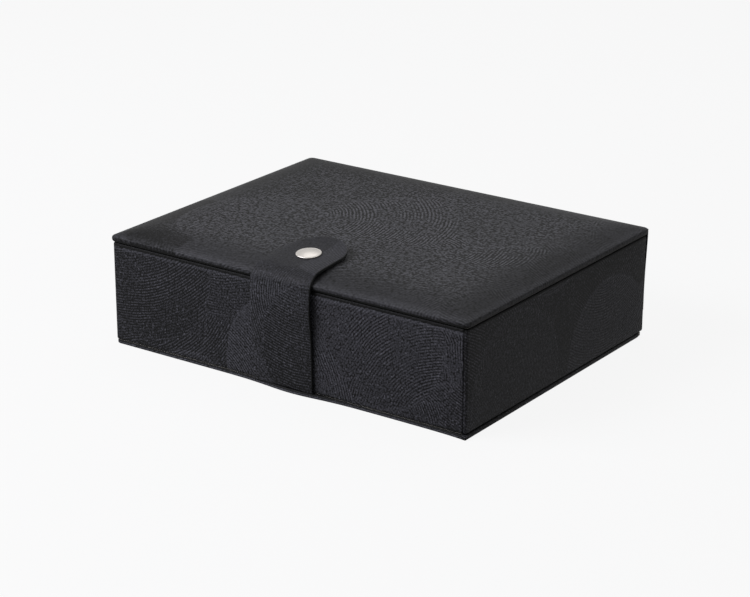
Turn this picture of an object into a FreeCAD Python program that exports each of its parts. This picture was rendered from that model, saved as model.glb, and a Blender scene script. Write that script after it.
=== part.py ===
import FreeCAD, Part
import math
import os
import re
import Sketcher

# Jewellery and cufflink box: a padded lid hinged along the back, a snap strap over the front,
# a divided tray under the lid and a drawer whose front is the whole right end of the box.
# Millimetres. +X right, -Y front, +Z up. The origin is the centre of the underside.

SIZES = [
    ("box_width", 252.0),          # outside, left wall to the drawer's front
    ("box_depth", 195.0),          # outside, front wall to back wall
    ("rim_height", 64.0),          # table to the top of the walls
    ("board", 2.4),                # greyboard of walls, floor, deck and lid
    ("leather", 0.6),              # covering of the case and the lid
    ("lining", 0.8),               # velvet on card
    ("wall_corner", 2.4),          # outer radius of the upright corners
    ("rim_round", 1.2),            # rounding of wrapped edges
    ("base_card", 1.6),            # board inside the base panel
    ("base_skin", 0.5),            # covering of the base panel
    ("base_inset", 0.1),           # base panel inside the walls' outline
    ("base_corner", 3.0),
    ("base_bevel", 0.7),           # soft edge of the wrapped base panel
    ("turn_in", 14.0),             # covering folded over a board's edge
    ("bay_height", 28.2),          # clear height of the drawer bay
    ("bay_liner", 2.0),            # inner boards that carry the deck
    ("felt_thick", 0.8),
    ("felt_width", 8.0),
    ("felt_spacing", 140.0),
    ("stop_width", 6.0),
    ("stop_drop", 3.0),
    ("stop_length", 120.0),
    ("drawer_hold", 78.0),         # mouth of the bay to the stop batten
    ("scoop_radius", 13.0),        # finger scoop in the tray's right wall
    ("scoop_rise", 2.0),           # scoop centre above the rim
    ("divider", 2.0),
    ("divider_height", 20.0),
    ("slot_fit", 0.1),             # play in the dividers' halving joints
    ("place_fit", 0.25),           # play between a loose insert and its walls
    ("roll_width", 9.2),
    ("roll_height", 17.0),
    ("roll_slit", 0.3),
    ("lid_overhang", 0.8),
    ("hinge_overhang", 2.3),       # lid behind the back wall
    ("lid_seat", 0.2),             # joint between rim and lid
    ("lid_corner", 3.0),
    ("lid_edge", 4.0),             # lid thickness at its edge
    ("crown_rise", 4.8),           # height of the padding over the edge
    ("crown_run", 32.0),           # width of the padding's slope
    ("pad_card", 1.2),
    ("pad_velvet", 0.6),
    ("pad_gap", 1.7),              # lid pad to the tray's lining
    ("hinge_leather", 0.8),
    ("hinge_side_gap", 1.5),       # end of the hinge leather to the side of the lid
    ("hinge_bond", 18.0),          # height of the hinge leather's bond on the back wall
    ("hinge_bond_top", 34.0),
    ("hinge_fit", 0.1),
    ("hinge_turn", 1.0),           # under the lid, where the hinge leather turns upright
    ("strap_width", 42.0),
    ("strap_offset", 2.0),         # strap centre to the right of the box's centre
    ("ply", 1.0),                  # each ply of the strap
    ("strap_clear", 0.2),
    ("lid_clear", 0.45),           # strap to the lid's front edge
    ("root_length", 40.0),
    ("root_fit", 0.1),
    ("fold_radius", 0.4),          # inside of the fold under the box
    ("bend_radius", 8.0),          # inside of the bend over the lid's edge
    ("split_gap", 0.05),
    ("tongue_clear", 0.4),         # tongue above the lid's crown
    ("tip_reach", 24.0),           # snap centre to the tongue's tip
    ("tip_lift", 3.2),              # rise of the tongue to its free tip
    ("snap_setback", 24.0),        # front wall to the snap's centre
    ("cap_radius", 7.5),
    ("cap_height", 2.0),
    ("cap_rim", 0.5),              # width of the cap's rolled rim
    ("cap_edge", 0.2),
    ("post_radius", 1.7),
    ("socket_radius", 5.8),
    ("socket_height", 2.4),
    ("socket_plate", 0.3),
    ("socket_edge", 0.3),
    ("stud_radius", 2.8),
    ("stud_groove", 0.35),
    ("stud_neck", 0.6),            # height of the groove under the stud's bead
    ("stud_round", 0.4),
    ("flange_radius", 5.2),
    ("flange_thick", 0.5),
    ("snap_fit", 0.1),             # play between stud and socket
    ("dimple_radius", 6.4),
    ("rivet_radius", 1.5),
    ("rivet_head", 4.5),
    ("rivet_head_thick", 0.5),
    ("front_panel", 2.0),          # drawer's front, covered
    ("front_backing", 0.4),
    ("panel_gap", 0.2),
    ("panel_foot", 0.3),           # drawer's front above the base panel
    ("panel_head", 0.4),           # drawer's front below the rim
    ("panel_round", 1.4),
    ("bin_board", 2.0),
    ("bin_floor", 1.6),
    ("bin_height", 23.6),
    ("bin_tail_height", 26.2),     # the bin's inner end, which meets the stop
    ("bin_side_gap", 0.6),
    ("bin_tail_gap", 1.4),
    ("bin_lift", 0.2),             # drawer above its felts
    ("bin_lining", 0.6),
    ("bin_divider_height", 17.0),
]

TRAY_COLUMNS = 4
TRAY_ROWS = 4
BIN_COLUMNS = 3
ROLL_COUNT = 5
CROWN_STEPS = (0.0, 0.15, 0.34, 0.62, 1.0)
CROWN_POWER = 2.5
DOME_STEPS = (0.6,)
COS45 = "(2 ^ 0.5 / 2)"

doc = FreeCAD.newDocument("cufflink_box")
sheet = doc.addObject("Spreadsheet::Sheet", "sizes")
for row, (alias, size) in enumerate(SIZES, 1):
    sheet.set(f"A{row}", alias)
    sheet.set(f"B{row}", str(size))
    sheet.setAlias(f"B{row}", alias)
doc.recompute()


def bound(text):
    """An expression on the sheet's aliases, written for setExpression."""
    return re.sub(r"\b[a-z][a-z_]*\b(?!\s*\()", lambda name: "sizes." + name.group(0), text)


def number(text):
    return float(sheet.evalExpression(text))


# Planes of the case, as expressions on the sheet.
LEFT = "(-box_width / 2)"
RIGHT = "(box_width / 2)"
FRONT = "(-box_depth / 2)"
BACK = "(box_depth / 2)"
LEFT_IN = f"({LEFT} + leather + board)"
FRONT_IN = f"({FRONT} + leather + board)"
BACK_IN = f"({BACK} - leather - board)"
FRAME_END = f"({RIGHT} - front_panel - panel_gap)"
END_BOARD_OUT = f"({FRAME_END} - leather)"
END_BOARD_IN = f"({END_BOARD_OUT} - board)"
BASE_TOP = "(2 * base_skin + base_card)"
FLOOR_TOP = f"({BASE_TOP} + board)"
DECK_LOW = f"({FLOOR_TOP} + bay_height)"
DECK_TOP = f"({DECK_LOW} + board)"
RIM = "rim_height"

# The tray, inside its velvet lining.
TRAY_FLOOR = f"({DECK_TOP} + lining)"
TRAY_LEFT = f"({LEFT_IN} + lining)"
TRAY_RIGHT = f"({END_BOARD_IN} - lining)"
TRAY_FRONT = f"({FRONT_IN} + lining)"
TRAY_BACK = f"({BACK_IN} - lining)"
DIVIDER_TOP = f"({TRAY_FLOOR} + divider_height)"
ROLLS_LEFT = f"({TRAY_RIGHT} - {ROLL_COUNT} * roll_width - place_fit)"
GRID_RIGHT = f"({ROLLS_LEFT} - divider - place_fit)"

# The lid.
LID_LOW = f"({RIM} + lid_seat)"
LID_LEFT = f"({LEFT} - lid_overhang)"
LID_RIGHT = f"({RIGHT} + lid_overhang)"
LID_FRONT = f"({FRONT} - lid_overhang)"
LID_BACK = f"({BACK} + hinge_overhang)"
LID_SHOULDER = f"({LID_LOW} + lid_edge)"
LID_TOP = f"({LID_SHOULDER} + crown_rise)"
LID_BOARD_LOW = f"({LID_LOW} + leather)"

# The strap, from the inside of its outer ply.
STRAP_LEFT = "(strap_offset - strap_width / 2)"
STRAP_IN_LOW = f"({FRONT} - strap_clear)"
STRAP_IN_HIGH = f"({LID_FRONT} - lid_clear)"
FOLD_Y = f"({STRAP_IN_LOW} - ply + fold_radius)"
FOLD_Z = f"({BASE_TOP} + ply + fold_radius)"
BEND_Y = f"({STRAP_IN_HIGH} + bend_radius)"
TONGUE_LOW = f"({LID_TOP} + tongue_clear)"
TONGUE_MID = f"({TONGUE_LOW} + ply)"
TONGUE_TOP = f"({TONGUE_LOW} + 2 * ply)"
BEND_Z = f"({TONGUE_LOW} - bend_radius)"
SNAP_Y = f"({FRONT} + snap_setback)"
TIP_Y = f"({SNAP_Y} + tip_reach)"
LIFT_Y = f"({SNAP_Y} + cap_radius)"

# The snap, from the tongue down to the dimple in the lid.
SOCKET_LOW = f"({TONGUE_LOW} - socket_height)"
SOCKET_ROOF = f"({TONGUE_LOW} - socket_plate)"
STUD_TOP = f"({SOCKET_ROOF} - snap_fit)"
POST_END = SOCKET_ROOF
FLANGE_TOP = f"({SOCKET_LOW} - snap_fit)"
DIMPLE = f"({FLANGE_TOP} - flange_thick)"

# The drawer.
PANEL_IN = f"({RIGHT} - front_panel)"
PANEL_LOW = f"({BASE_TOP} + panel_foot)"
PANEL_TOP = f"({RIM} - panel_head)"
BIN_FRONT = f"({FRONT_IN} + bay_liner + bin_side_gap)"
BIN_BACK = f"({BACK_IN} - bay_liner - bin_side_gap)"
BIN_LEFT = f"({LEFT_IN} + bin_tail_gap)"
BIN_LOW = f"({FLOOR_TOP} + felt_thick + bin_lift)"
BIN_FLOOR_TOP = f"({BIN_LOW} + bin_floor)"
BIN_TOP = f"({BIN_LOW} + bin_height)"
BIN_INSIDE_LEFT = f"({BIN_LEFT} + bin_board + bin_lining)"
BIN_INSIDE_RIGHT = f"({PANEL_IN} - bin_board - bin_lining)"
BIN_INSIDE_FRONT = f"({BIN_FRONT} + bin_board + bin_lining)"
BIN_INSIDE_BACK = f"({BIN_BACK} - bin_board - bin_lining)"
BIN_INSIDE_LOW = f"({BIN_FLOOR_TOP} + bin_lining)"

parts = []


def finish(item, label):
    """Names an object as one of the box's pieces."""
    item.Label = label
    parts.append(item)
    return item


def place(item, x, y, z):
    for axis, text in zip("xyz", (x, y, z)):
        item.setExpression(f"Placement.Base.{axis}", bound(text))


def block(name, x, y, z):
    """A box between two planes on each axis; x, y and z are (low, high) expressions."""
    item = doc.addObject("Part::Box", name)
    for size, (low, high) in zip(("Length", "Width", "Height"), (x, y, z)):
        item.setExpression(size, bound(f"{high} - {low}"))
    place(item, x[0], y[0], z[0])
    return item


def drum(name, x, y, z, radius):
    """An upright cylinder; z is (low, high)."""
    item = doc.addObject("Part::Cylinder", name)
    item.setExpression("Radius", bound(radius))
    item.setExpression("Height", bound(f"{z[1]} - {z[0]}"))
    place(item, x, y, z[0])
    return item


def fused(name, pieces):
    item = doc.addObject("Part::MultiFuse", name)
    item.Shapes = pieces
    return item


def together(name, pieces):
    """Separate solids that share one node."""
    item = doc.addObject("Part::Compound", name)
    item.Links = pieces
    return item


def cut(name, base, *tools):
    tool = tools[0] if len(tools) == 1 else fused(f"{name}_tools", list(tools))
    item = doc.addObject("Part::Cut", name)
    item.Base = base
    item.Tool = tool
    return item


def origin_item(body, role):
    return next(item for item in body.Origin.OriginFeatures if item.Role == role)


def arc_between(start, end, radius):
    """The short arc from start to end: to the left of the chord, or to its right if radius < 0."""
    chord = end - start
    half = chord.Length / 2
    side = FreeCAD.Vector(-chord.y, chord.x, 0).normalize() * math.copysign(1, radius)
    centre = (start + end) / 2 + side * math.sqrt(max(radius * radius - half * half, 0))
    first, last = (start, end) if radius > 0 else (end, start)
    angles = [math.atan2(point.y - centre.y, point.x - centre.x) for point in (first, last)]
    circle = Part.Circle(centre, FreeCAD.Vector(0, 0, 1), abs(radius))
    return Part.ArcOfCircle(circle, *angles)


def outline(body, name, plane, corners, lift="0"):
    """A closed sketch on one of the body's origin planes, fully held by the sheet.

    corners are (u, v, bend): bend is None for a straight run to the next corner, or the radius
    of an arc to it, negative where the arc turns clockwise.
    """
    sketch = body.newObject("Sketcher::SketchObject", f"{body.Name}_{name}")
    sketch.AttachmentSupport = [(origin_item(body, plane), "")]
    sketch.MapMode = "FlatFace"
    sketch.setExpression("AttachmentOffset.Base.z", bound(lift))
    points = [FreeCAD.Vector(number(u), number(v), 0) for u, v, _ in corners]
    ends = []
    for index, (_, _, bend) in enumerate(corners):
        start = points[index]
        end = points[(index + 1) % len(points)]
        radius = number(bend) if bend else 0
        run = arc_between(start, end, radius) if bend else Part.LineSegment(start, end)
        sketch.addGeometry(run)
        ends.append((2, 1) if radius < 0 else (1, 2))
    for index, (u, v, bend) in enumerate(corners):
        before = (index - 1) % len(corners)
        first = ends[index][0]
        sketch.addConstraint(Sketcher.Constraint("Coincident", before, ends[before][1], index, first))
        hold(sketch, "DistanceX", u, -1, 1, index, first)
        hold(sketch, "DistanceY", v, -1, 1, index, first)
        if bend:
            hold(sketch, "Radius", bend.lstrip("-"), index)
    return sketch


def hold(sketch, kind, text, *where):
    place_of = sketch.addConstraint(Sketcher.Constraint(kind, *where, number(text)))
    sketch.setExpression(f"Constraints[{place_of}]", bound(text))


def rounded(x, y, radius):
    """Corners of a rounded rectangle; x and y are (low, high) expressions."""
    (left, right), (low, high) = x, y
    return [
        (f"{left} + {radius}", low, None), (f"{right} - {radius}", low, radius),
        (right, f"{low} + {radius}", None), (right, f"{high} - {radius}", radius),
        (f"{right} - {radius}", high, None), (f"{left} + {radius}", high, radius),
        (left, f"{high} - {radius}", None), (left, f"{low} + {radius}", radius),
    ]


def rectangle(x, y):
    return [(x[0], y[0], None), (x[1], y[0], None), (x[1], y[1], None), (x[0], y[1], None)]


def shrunk(span, inset):
    return (f"({span[0]} + {inset})", f"({span[1]} - {inset})")


def new_body(name):
    return doc.addObject("PartDesign::Body", name)


def pad(body, sketch, length, name="pad"):
    item = body.newObject("PartDesign::Pad", f"{body.Name}_{name}")
    item.Profile = sketch
    item.setExpression("Length", bound(length))
    sketch.Visibility = False
    return item


def pocket(body, sketch, length, upward=False, name="pocket"):
    """Cuts below the sketch's plane, or above it where upward is set."""
    doc.recompute()
    before = body.Tip.Shape.Volume
    item = body.newObject("PartDesign::Pocket", f"{body.Name}_{name}")
    item.Profile = sketch
    item.setExpression("Length", bound(length))
    item.Reversed = upward
    doc.recompute()
    if item.Shape.Volume >= before:
        raise ValueError(f"{item.Name} cuts nothing")
    return item


def edges(shape, chosen):
    """Names of the edges whose middle and direction the test picks."""
    names = []
    for index, edge in enumerate(shape.Edges, 1):
        middle = edge.valueAt((edge.FirstParameter + edge.LastParameter) / 2)
        along = edge.tangentAt((edge.FirstParameter + edge.LastParameter) / 2)
        if chosen(middle, along):
            names.append(f"Edge{index}")
    return names


def dress(body, kind, size, chosen, name="edge"):
    """A Fillet or Chamfer on the edges of the body's tip that the test picks."""
    doc.recompute()
    base = body.Tip
    item = body.newObject(f"PartDesign::{kind}", f"{body.Name}_{name}")
    item.Base = (base, edges(base.Shape, chosen))
    item.setExpression("Radius" if kind == "Fillet" else "Size", bound(size))
    return item


def near(value, text):
    return abs(value - number(text)) < 0.01


def turned(name, x, y, corners):
    """A body turned about an upright axis; corners are (radius, height, bend)."""
    body = new_body(name)
    sketch = outline(body, "profile", "XZ_Plane", corners)
    item = body.newObject("PartDesign::Revolution", f"{name}_turned")
    item.Profile = sketch
    item.ReferenceAxis = (origin_item(body, "Z_Axis"), [""])
    item.Angle = 360
    place(body, x, y, "0")
    return body


# ---------------------------------------------------------------- base panel and case

def make_base():
    """A board wrapped in leather, which the walls and the strap's root are glued to."""
    across = (f"({LEFT} + base_inset)", f"({RIGHT} - base_inset)")
    deep = (f"({FRONT} + base_inset)", f"({BACK} - base_inset)")
    card = new_body("base_card_body")
    outline(card, "plan", "XY_Plane", rounded(shrunk(across, "base_skin"), shrunk(deep, "base_skin"),
                                              "(base_corner - base_skin)"), "base_skin")
    pad(card, card.Group[-1], "base_card")
    finish(card, "base_board")

    wrap = new_body("base_wrap_body")
    outline(wrap, "plan", "XY_Plane", rounded(across, deep, "base_corner"))
    pad(wrap, wrap.Group[-1], BASE_TOP)
    dress(wrap, "Chamfer", "base_bevel", lambda middle, along: near(middle.z, "0")
          or near(middle.z, BASE_TOP))
    window = block("base_window", shrunk(across, "turn_in"), shrunk(deep, "turn_in"),
                   ("(base_skin + base_card)", BASE_TOP))
    finish(cut("base_wrap", wrap, card, window), "base_leather")


def wall_corners(inset, end):
    """Plan of the front, left and back walls as one U, inset on its outer side."""
    left = f"({LEFT} + {inset})"
    front = f"({FRONT} + {inset})"
    back = f"({BACK} - {inset})"
    turn = f"(wall_corner - {inset})"
    return [
        (end, front, None), (end, FRONT_IN, None), (LEFT_IN, FRONT_IN, None),
        (LEFT_IN, BACK_IN, None), (end, BACK_IN, None), (end, back, None),
        (f"{left} + {turn}", back, turn), (left, f"{back} - {turn}", None),
        (left, f"{front} + {turn}", turn), (f"{left} + {turn}", front, None),
    ]


def strap_notch(name, top):
    """The slot where the strap's root passes under the front wall and the floor."""
    return block(name, (f"({STRAP_LEFT} - root_fit)", f"({STRAP_LEFT} + strap_width + root_fit)"),
                 (f"({FRONT} - ply)", f"({FRONT} + root_length + root_fit)"),
                 (f"({BASE_TOP} - ply)", f"({BASE_TOP} + {top} + root_fit)"))


def make_case_walls():
    """Greyboard walls under one leather wrap that turns in over the rim and the wall ends."""
    core = new_body("wall_core")
    outline(core, "plan", "XY_Plane", wall_corners("leather", END_BOARD_OUT), BASE_TOP)
    pad(core, core.Group[-1], f"{RIM} - leather - {BASE_TOP}")

    wrap = new_body("case_wrap_body")
    outline(wrap, "plan", "XY_Plane", wall_corners("0", FRAME_END), BASE_TOP)
    pad(wrap, wrap.Group[-1], f"{RIM} - {BASE_TOP}")
    dress(wrap, "Fillet", "rim_round", lambda middle, along: near(middle.z, RIM)
          and (near(middle.x, LEFT) or near(abs(middle.y), BACK)))
    finish(cut("case_wrap", wrap, core, strap_notch("wrap_notch", "ply")), "case_leather")

    long_walls = (f"({LEFT} + leather)", END_BOARD_OUT)
    height = (BASE_TOP, f"({RIM} - leather)")
    for side, deep in (("front", (f"({FRONT} + leather)", FRONT_IN)),
                       ("back", (BACK_IN, f"({BACK} - leather)"))):
        blank = block(f"{side}_blank", long_walls, deep, height)
        wall = doc.addObject("Part::MultiCommon", f"{side}_wall")
        wall.Shapes = [blank, core]
        if side == "front":
            wall = cut("front_wall_notched", wall, strap_notch("wall_notch", "ply"))
        finish(wall, f"{side}_wall_board")
    finish(block("left_wall", (f"({LEFT} + leather)", LEFT_IN), (FRONT_IN, BACK_IN), height),
           "left_wall_board")


def scooped(name, x, low, top, radius):
    """An upright end wall with a half-round finger scoop in its top edge; x and low are planes."""
    body = new_body(name)
    drop = f"(scoop_rise + {RIM} - {top})"
    reach = f"(({radius} ^ 2 - {drop} ^ 2) ^ 0.5)"
    outline(body, "outline", "YZ_Plane", [
        (FRONT_IN, low, None), (BACK_IN, low, None), (BACK_IN, top, None),
        (reach, top, f"-{radius}"), (f"(-{reach})", top, None), (FRONT_IN, top, None)], x[0])
    pad(body, body.Group[-1], f"{x[1]} - {x[0]}")
    return body


def make_tray_end():
    """The tray's right wall stands on the deck, and its leather turns over the top and the scoop."""
    wall = scooped("end_wall", (END_BOARD_IN, END_BOARD_OUT), DECK_TOP, f"({RIM} - leather)",
                   "(scoop_radius + leather)")
    finish(wall, "tray_end_board")
    wrap = scooped("end_wrap", (END_BOARD_IN, FRAME_END), DECK_LOW, RIM, "scoop_radius")
    deck_edge = block("deck_edge", (END_BOARD_IN, END_BOARD_OUT), (FRONT_IN, BACK_IN),
                      (DECK_LOW, DECK_TOP))
    finish(cut("end_wrap_hollow", wrap, wall, deck_edge), "tray_end_leather")


def make_case_inside():
    """Floor, deck and the boards that carry it, felts, and the drawer's stop."""
    inside_x = (LEFT_IN, FRAME_END)
    inside_y = (FRONT_IN, BACK_IN)
    floor = block("floor_blank", inside_x, inside_y, (BASE_TOP, FLOOR_TOP))
    finish(cut("floor", floor, strap_notch("floor_notch", "ply")), "floor_board")
    finish(block("deck", (LEFT_IN, END_BOARD_OUT), inside_y, (DECK_LOW, DECK_TOP)), "deck_board")

    bay = (FLOOR_TOP, DECK_LOW)
    for side, y in (("front", (FRONT_IN, f"({FRONT_IN} + bay_liner)")),
                    ("back", (f"({BACK_IN} - bay_liner)", BACK_IN))):
        finish(block(f"{side}_liner", inside_x, y, bay), f"bay_liner_{side}")

    run = (f"({LEFT_IN} + bin_tail_gap)", f"({FRAME_END} - panel_gap)")
    strips = []
    for side in (-1, 1):
        middle = f"({side} * felt_spacing / 2)"
        strips.append(block(f"felt_{side + 1}", run, (f"({middle} - felt_width / 2)",
                                                      f"({middle} + felt_width / 2)"),
                            (FLOOR_TOP, f"({FLOOR_TOP} + felt_thick)")))
    finish(together("felts", strips), "drawer_slide_felts")

    stop_end = f"({FRAME_END} - drawer_hold)"
    batten = new_body("stop_body")
    outline(batten, "section", "XZ_Plane", [
        (f"({stop_end} - stop_width)", f"({DECK_LOW} - stop_drop)", None),
        (stop_end, f"({DECK_LOW} - stop_drop)", None), (stop_end, DECK_LOW, None),
        (f"({stop_end} - stop_width)", DECK_LOW, None)], "(-stop_length / 2)")
    pad(batten, batten.Group[-1], "stop_length")
    finish(batten, "drawer_stop_batten")


# ---------------------------------------------------------------- tray

def make_tray_lining():
    """A velvet-covered card box that fills the top of the case, with the finger scoop."""
    body = new_body("lining_body")
    outer = (LEFT_IN, END_BOARD_IN), (FRONT_IN, BACK_IN)
    outline(body, "plan", "XY_Plane", rectangle(*outer), DECK_TOP)
    pad(body, body.Group[-1], f"{RIM} - leather - {DECK_TOP}")
    inner = shrunk(outer[0], "lining"), shrunk(outer[1], "lining")
    outline(body, "hollow", "XY_Plane", rounded(*inner, "lining"), TRAY_FLOOR)
    pocket(body, body.Group[-1], "rim_height", upward=True)
    scoop = doc.addObject("Part::Cylinder", "lining_scoop")
    scoop.setExpression("Radius", bound("scoop_radius + leather"))
    scoop.setExpression("Height", bound("4 * lining"))
    scoop.Placement.Rotation = FreeCAD.Rotation(FreeCAD.Vector(0, 1, 0), 90)
    place(scoop, f"({END_BOARD_IN} - 2 * lining)", "0", f"({RIM} + scoop_rise)")
    finish(cut("lining", body, scoop), "tray_lining")


def halved(name, plane, along, across_at, slots, low, high, open_top):
    """A divider card with half-height slots, so that it crosses the others like an egg crate."""
    middle = f"(({low} + {high}) / 2)"
    mouth = high if open_top else low
    corners = [(along[0], low, None)]
    half = "(divider / 2 + slot_fit)"
    teeth = []
    for slot in slots:
        teeth += [(f"({slot} - {half})", mouth, None), (f"({slot} - {half})", middle, None),
                  (f"({slot} + {half})", middle, None), (f"({slot} + {half})", mouth, None)]
    far = [(along[1], low, None), (along[1], high, None)]
    if open_top:
        corners += far + list(reversed(teeth)) + [(along[0], high, None)]
    else:
        corners += teeth + far + [(along[0], high, None)]
    body = new_body(name)
    centre = f"(-({across_at}) - divider / 2)" if plane == "XZ_Plane" else f"({across_at} - divider / 2)"
    outline(body, "card", plane, corners, centre)
    pad(body, body.Group[-1], "divider")
    return body


def shares(span, count):
    """Centres of the dividers that split a span into equal compartments."""
    step = f"(({span[1]} - {span[0]} + divider) / {count})"
    return [f"({span[0]} - divider / 2 + {index} * {step})" for index in range(1, count)]


def make_tray_grid():
    """Velvet-covered dividers, halved into each other, and a full partition beside the rolls."""
    span_x = (f"({TRAY_LEFT} + place_fit)", GRID_RIGHT)
    span_y = (f"({TRAY_FRONT} + place_fit)", f"({TRAY_BACK} - place_fit)")
    columns = shares((TRAY_LEFT, GRID_RIGHT), TRAY_COLUMNS)
    rows = shares((TRAY_FRONT, TRAY_BACK), TRAY_ROWS)
    for index, row in enumerate(rows, 1):
        name = f"tray_divider_long_{index}"
        finish(halved(f"{name}_body", "XZ_Plane", span_x, row, columns, TRAY_FLOOR, DIVIDER_TOP, True),
               name)
    for index, column in enumerate(columns, 1):
        name = f"tray_divider_cross_{index}"
        finish(halved(f"{name}_body", "YZ_Plane", span_y, column, rows, TRAY_FLOOR, DIVIDER_TOP, False),
               name)
    finish(block("partition", (GRID_RIGHT, f"({GRID_RIGHT} + divider)"), span_y,
                 (TRAY_FLOOR, DIVIDER_TOP)), "tray_partition")


def make_rolls():
    """Soft rolls side by side, which grip rings and cufflinks in the slits between them."""
    rolls = []
    span = f"({TRAY_BACK} - {TRAY_FRONT} - 2 * place_fit)"
    for index in range(ROLL_COUNT):
        left = f"({ROLLS_LEFT} + {index} * roll_width + roll_slit / 2)"
        right = f"({ROLLS_LEFT} + {index + 1} * roll_width - roll_slit / 2)"
        radius = "((roll_width - roll_slit) / 2)"
        shoulder = f"({TRAY_FLOOR} + roll_height - roll_width / 2)"
        crown = f"({shoulder} + {radius})"
        middle = f"(({left} + {right}) / 2)"
        body = new_body(f"roll_{index}")
        outline(body, "section", "XZ_Plane", [
            (left, TRAY_FLOOR, None), (right, TRAY_FLOOR, None), (right, shoulder, radius),
            (middle, crown, radius), (left, shoulder, None)], f"(-{TRAY_BACK} + place_fit)")
        pad(body, body.Group[-1], span)
        rolls.append(body)
    finish(together("rolls", rolls), "ring_rolls")


# ---------------------------------------------------------------- lid

def crown_sections(body, inset):
    """Lofts the padding: rounded rectangles that draw in as they rise to the flat of the crown."""
    sketches = []
    for step in CROWN_STEPS:
        height = f"({LID_SHOULDER} + crown_rise * (1 - (1 - {step}) ^ {CROWN_POWER}) - {inset})"
        draw_in = f"({inset} + crown_run * {step})"
        across = shrunk((LID_LEFT, LID_RIGHT), draw_in)
        deep = shrunk((LID_FRONT, LID_BACK), draw_in)
        sketches.append(outline(body, f"crown_{len(sketches)}", "XY_Plane",
                                rounded(across, deep, f"(lid_corner - {inset})"), height))
    loft = body.newObject("PartDesign::AdditiveLoft", f"{body.Name}_crown")
    loft.Profile = sketches[0]
    loft.Sections = sketches[1:]
    loft.Ruled = True
    return loft


def make_lid():
    """Board and crowned foam in a leather cover that turns in underneath."""
    plan_x = (LID_LEFT, LID_RIGHT)
    plan_y = (LID_FRONT, LID_BACK)
    board = new_body("lid_board_body")
    outline(board, "plan", "XY_Plane", rounded(shrunk(plan_x, "leather"), shrunk(plan_y, "leather"),
                                               "(lid_corner - leather)"), LID_BOARD_LOW)
    pad(board, board.Group[-1], "board")
    foam = new_body("foam_body")
    crown_sections(foam, "leather")

    shell = new_body("lid_shell")
    outline(shell, "plan", "XY_Plane", rounded(plan_x, plan_y, "lid_corner"), LID_LOW)
    pad(shell, shell.Group[-1], "lid_edge")
    crown_sections(shell, "0")
    dress(shell, "Fillet", "rim_round", lambda middle, along: near(middle.z, LID_SHOULDER), "shoulder")
    dress(shell, "Chamfer", "(rim_round / 2)", lambda middle, along: near(middle.z, LID_LOW), "foot")

    bore = drum("lid_bore", "strap_offset", SNAP_Y, (LID_LOW, LID_TOP), "(rivet_radius + snap_fit)")
    dimple = drum("dimple", "strap_offset", SNAP_Y, (DIMPLE, f"({LID_TOP} + leather)"), "dimple_radius")
    seat = drum("foam_seat", "strap_offset", SNAP_Y, (f"({DIMPLE} - leather)", f"({LID_TOP} + leather)"),
                "(dimple_radius + leather)")
    window = block("lid_window", shrunk(plan_x, "turn_in"), shrunk(plan_y, "turn_in"),
                   (LID_LOW, LID_BOARD_LOW))
    foam_cut = cut("foam_seated", foam, seat, bore)
    finish(cut("lid_board_bored", board, bore), "lid_board")
    finish(foam_cut, "lid_foam")
    core = cut("lid_core", foam, seat)
    finish(cut("lid_cover", shell, board, core, dimple, bore, window), "lid_leather")


def make_lid_pad():
    """Velvet-covered card under the lid, which drops inside the tray's rim."""
    x = (f"({TRAY_LEFT} + pad_gap)", f"({TRAY_RIGHT} - pad_gap)")
    y = (f"({TRAY_FRONT} + pad_gap)", f"({TRAY_BACK} - pad_gap)")
    low = f"({LID_LOW} - pad_card - pad_velvet)"
    card = block("pad_card_blank", shrunk(x, "pad_velvet"), shrunk(y, "pad_velvet"),
                 (f"({LID_LOW} - pad_card)", LID_LOW))
    finish(card, "lid_pad_card")
    velvet = new_body("pad_velvet_body")
    outline(velvet, "plan", "XY_Plane", rounded(x, y, "lining"), low)
    pad(velvet, velvet.Group[-1], f"{LID_LOW} - {low}")
    dress(velvet, "Chamfer", "(pad_velvet * 0.9)", lambda middle, along: near(middle.z, low))
    finish(cut("pad_velvet_cover", velvet, card), "lid_pad_velvet")


def make_hinge():
    """Leather from the lid's back edge down to its bond on the back wall, standing off on top."""
    wall = f"({BACK} + hinge_fit)"
    edge = f"({LID_BACK} + hinge_fit)"
    bond_low = "(hinge_bond_top - hinge_bond)"
    high = f"({LID_SHOULDER} - rim_round)"
    turn = f"({LID_LOW} - hinge_turn)"
    body = new_body("hinge_body")
    outline(body, "section", "YZ_Plane", [
        (wall, bond_low, None), (f"({wall} + hinge_leather)", bond_low, None),
        (f"({wall} + hinge_leather)", "hinge_bond_top", None), (f"({edge} + hinge_leather)", turn, None),
        (f"({edge} + hinge_leather)", high, None), (edge, high, None), (edge, turn, None),
        (wall, "hinge_bond_top", None)], f"({LID_LEFT} + hinge_side_gap)")
    pad(body, body.Group[-1], "box_width + 2 * lid_overhang - 2 * hinge_side_gap")
    finish(body, "hinge_leather")


# ---------------------------------------------------------------- strap and tongue

def on_arc(centre, radius, side, slip):
    """The point of an arc at 45 degrees, slid along it by slip; side is (-1, -1) or (-1, 1)."""
    y = f"({centre[0]} + {side[0]} * {COS45} * {radius} + {slip[0]} * {COS45} * split_gap)"
    z = f"({centre[1]} + {side[1]} * {COS45} * {radius} + {slip[1]} * {COS45} * split_gap)"
    return y, z


def banded(name, corners):
    """A band of the strap: a side outline padded across the strap's width."""
    body = new_body(name)
    outline(body, "side", "YZ_Plane", corners, STRAP_LEFT)
    pad(body, body.Group[-1], "strap_width")
    return body


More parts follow.
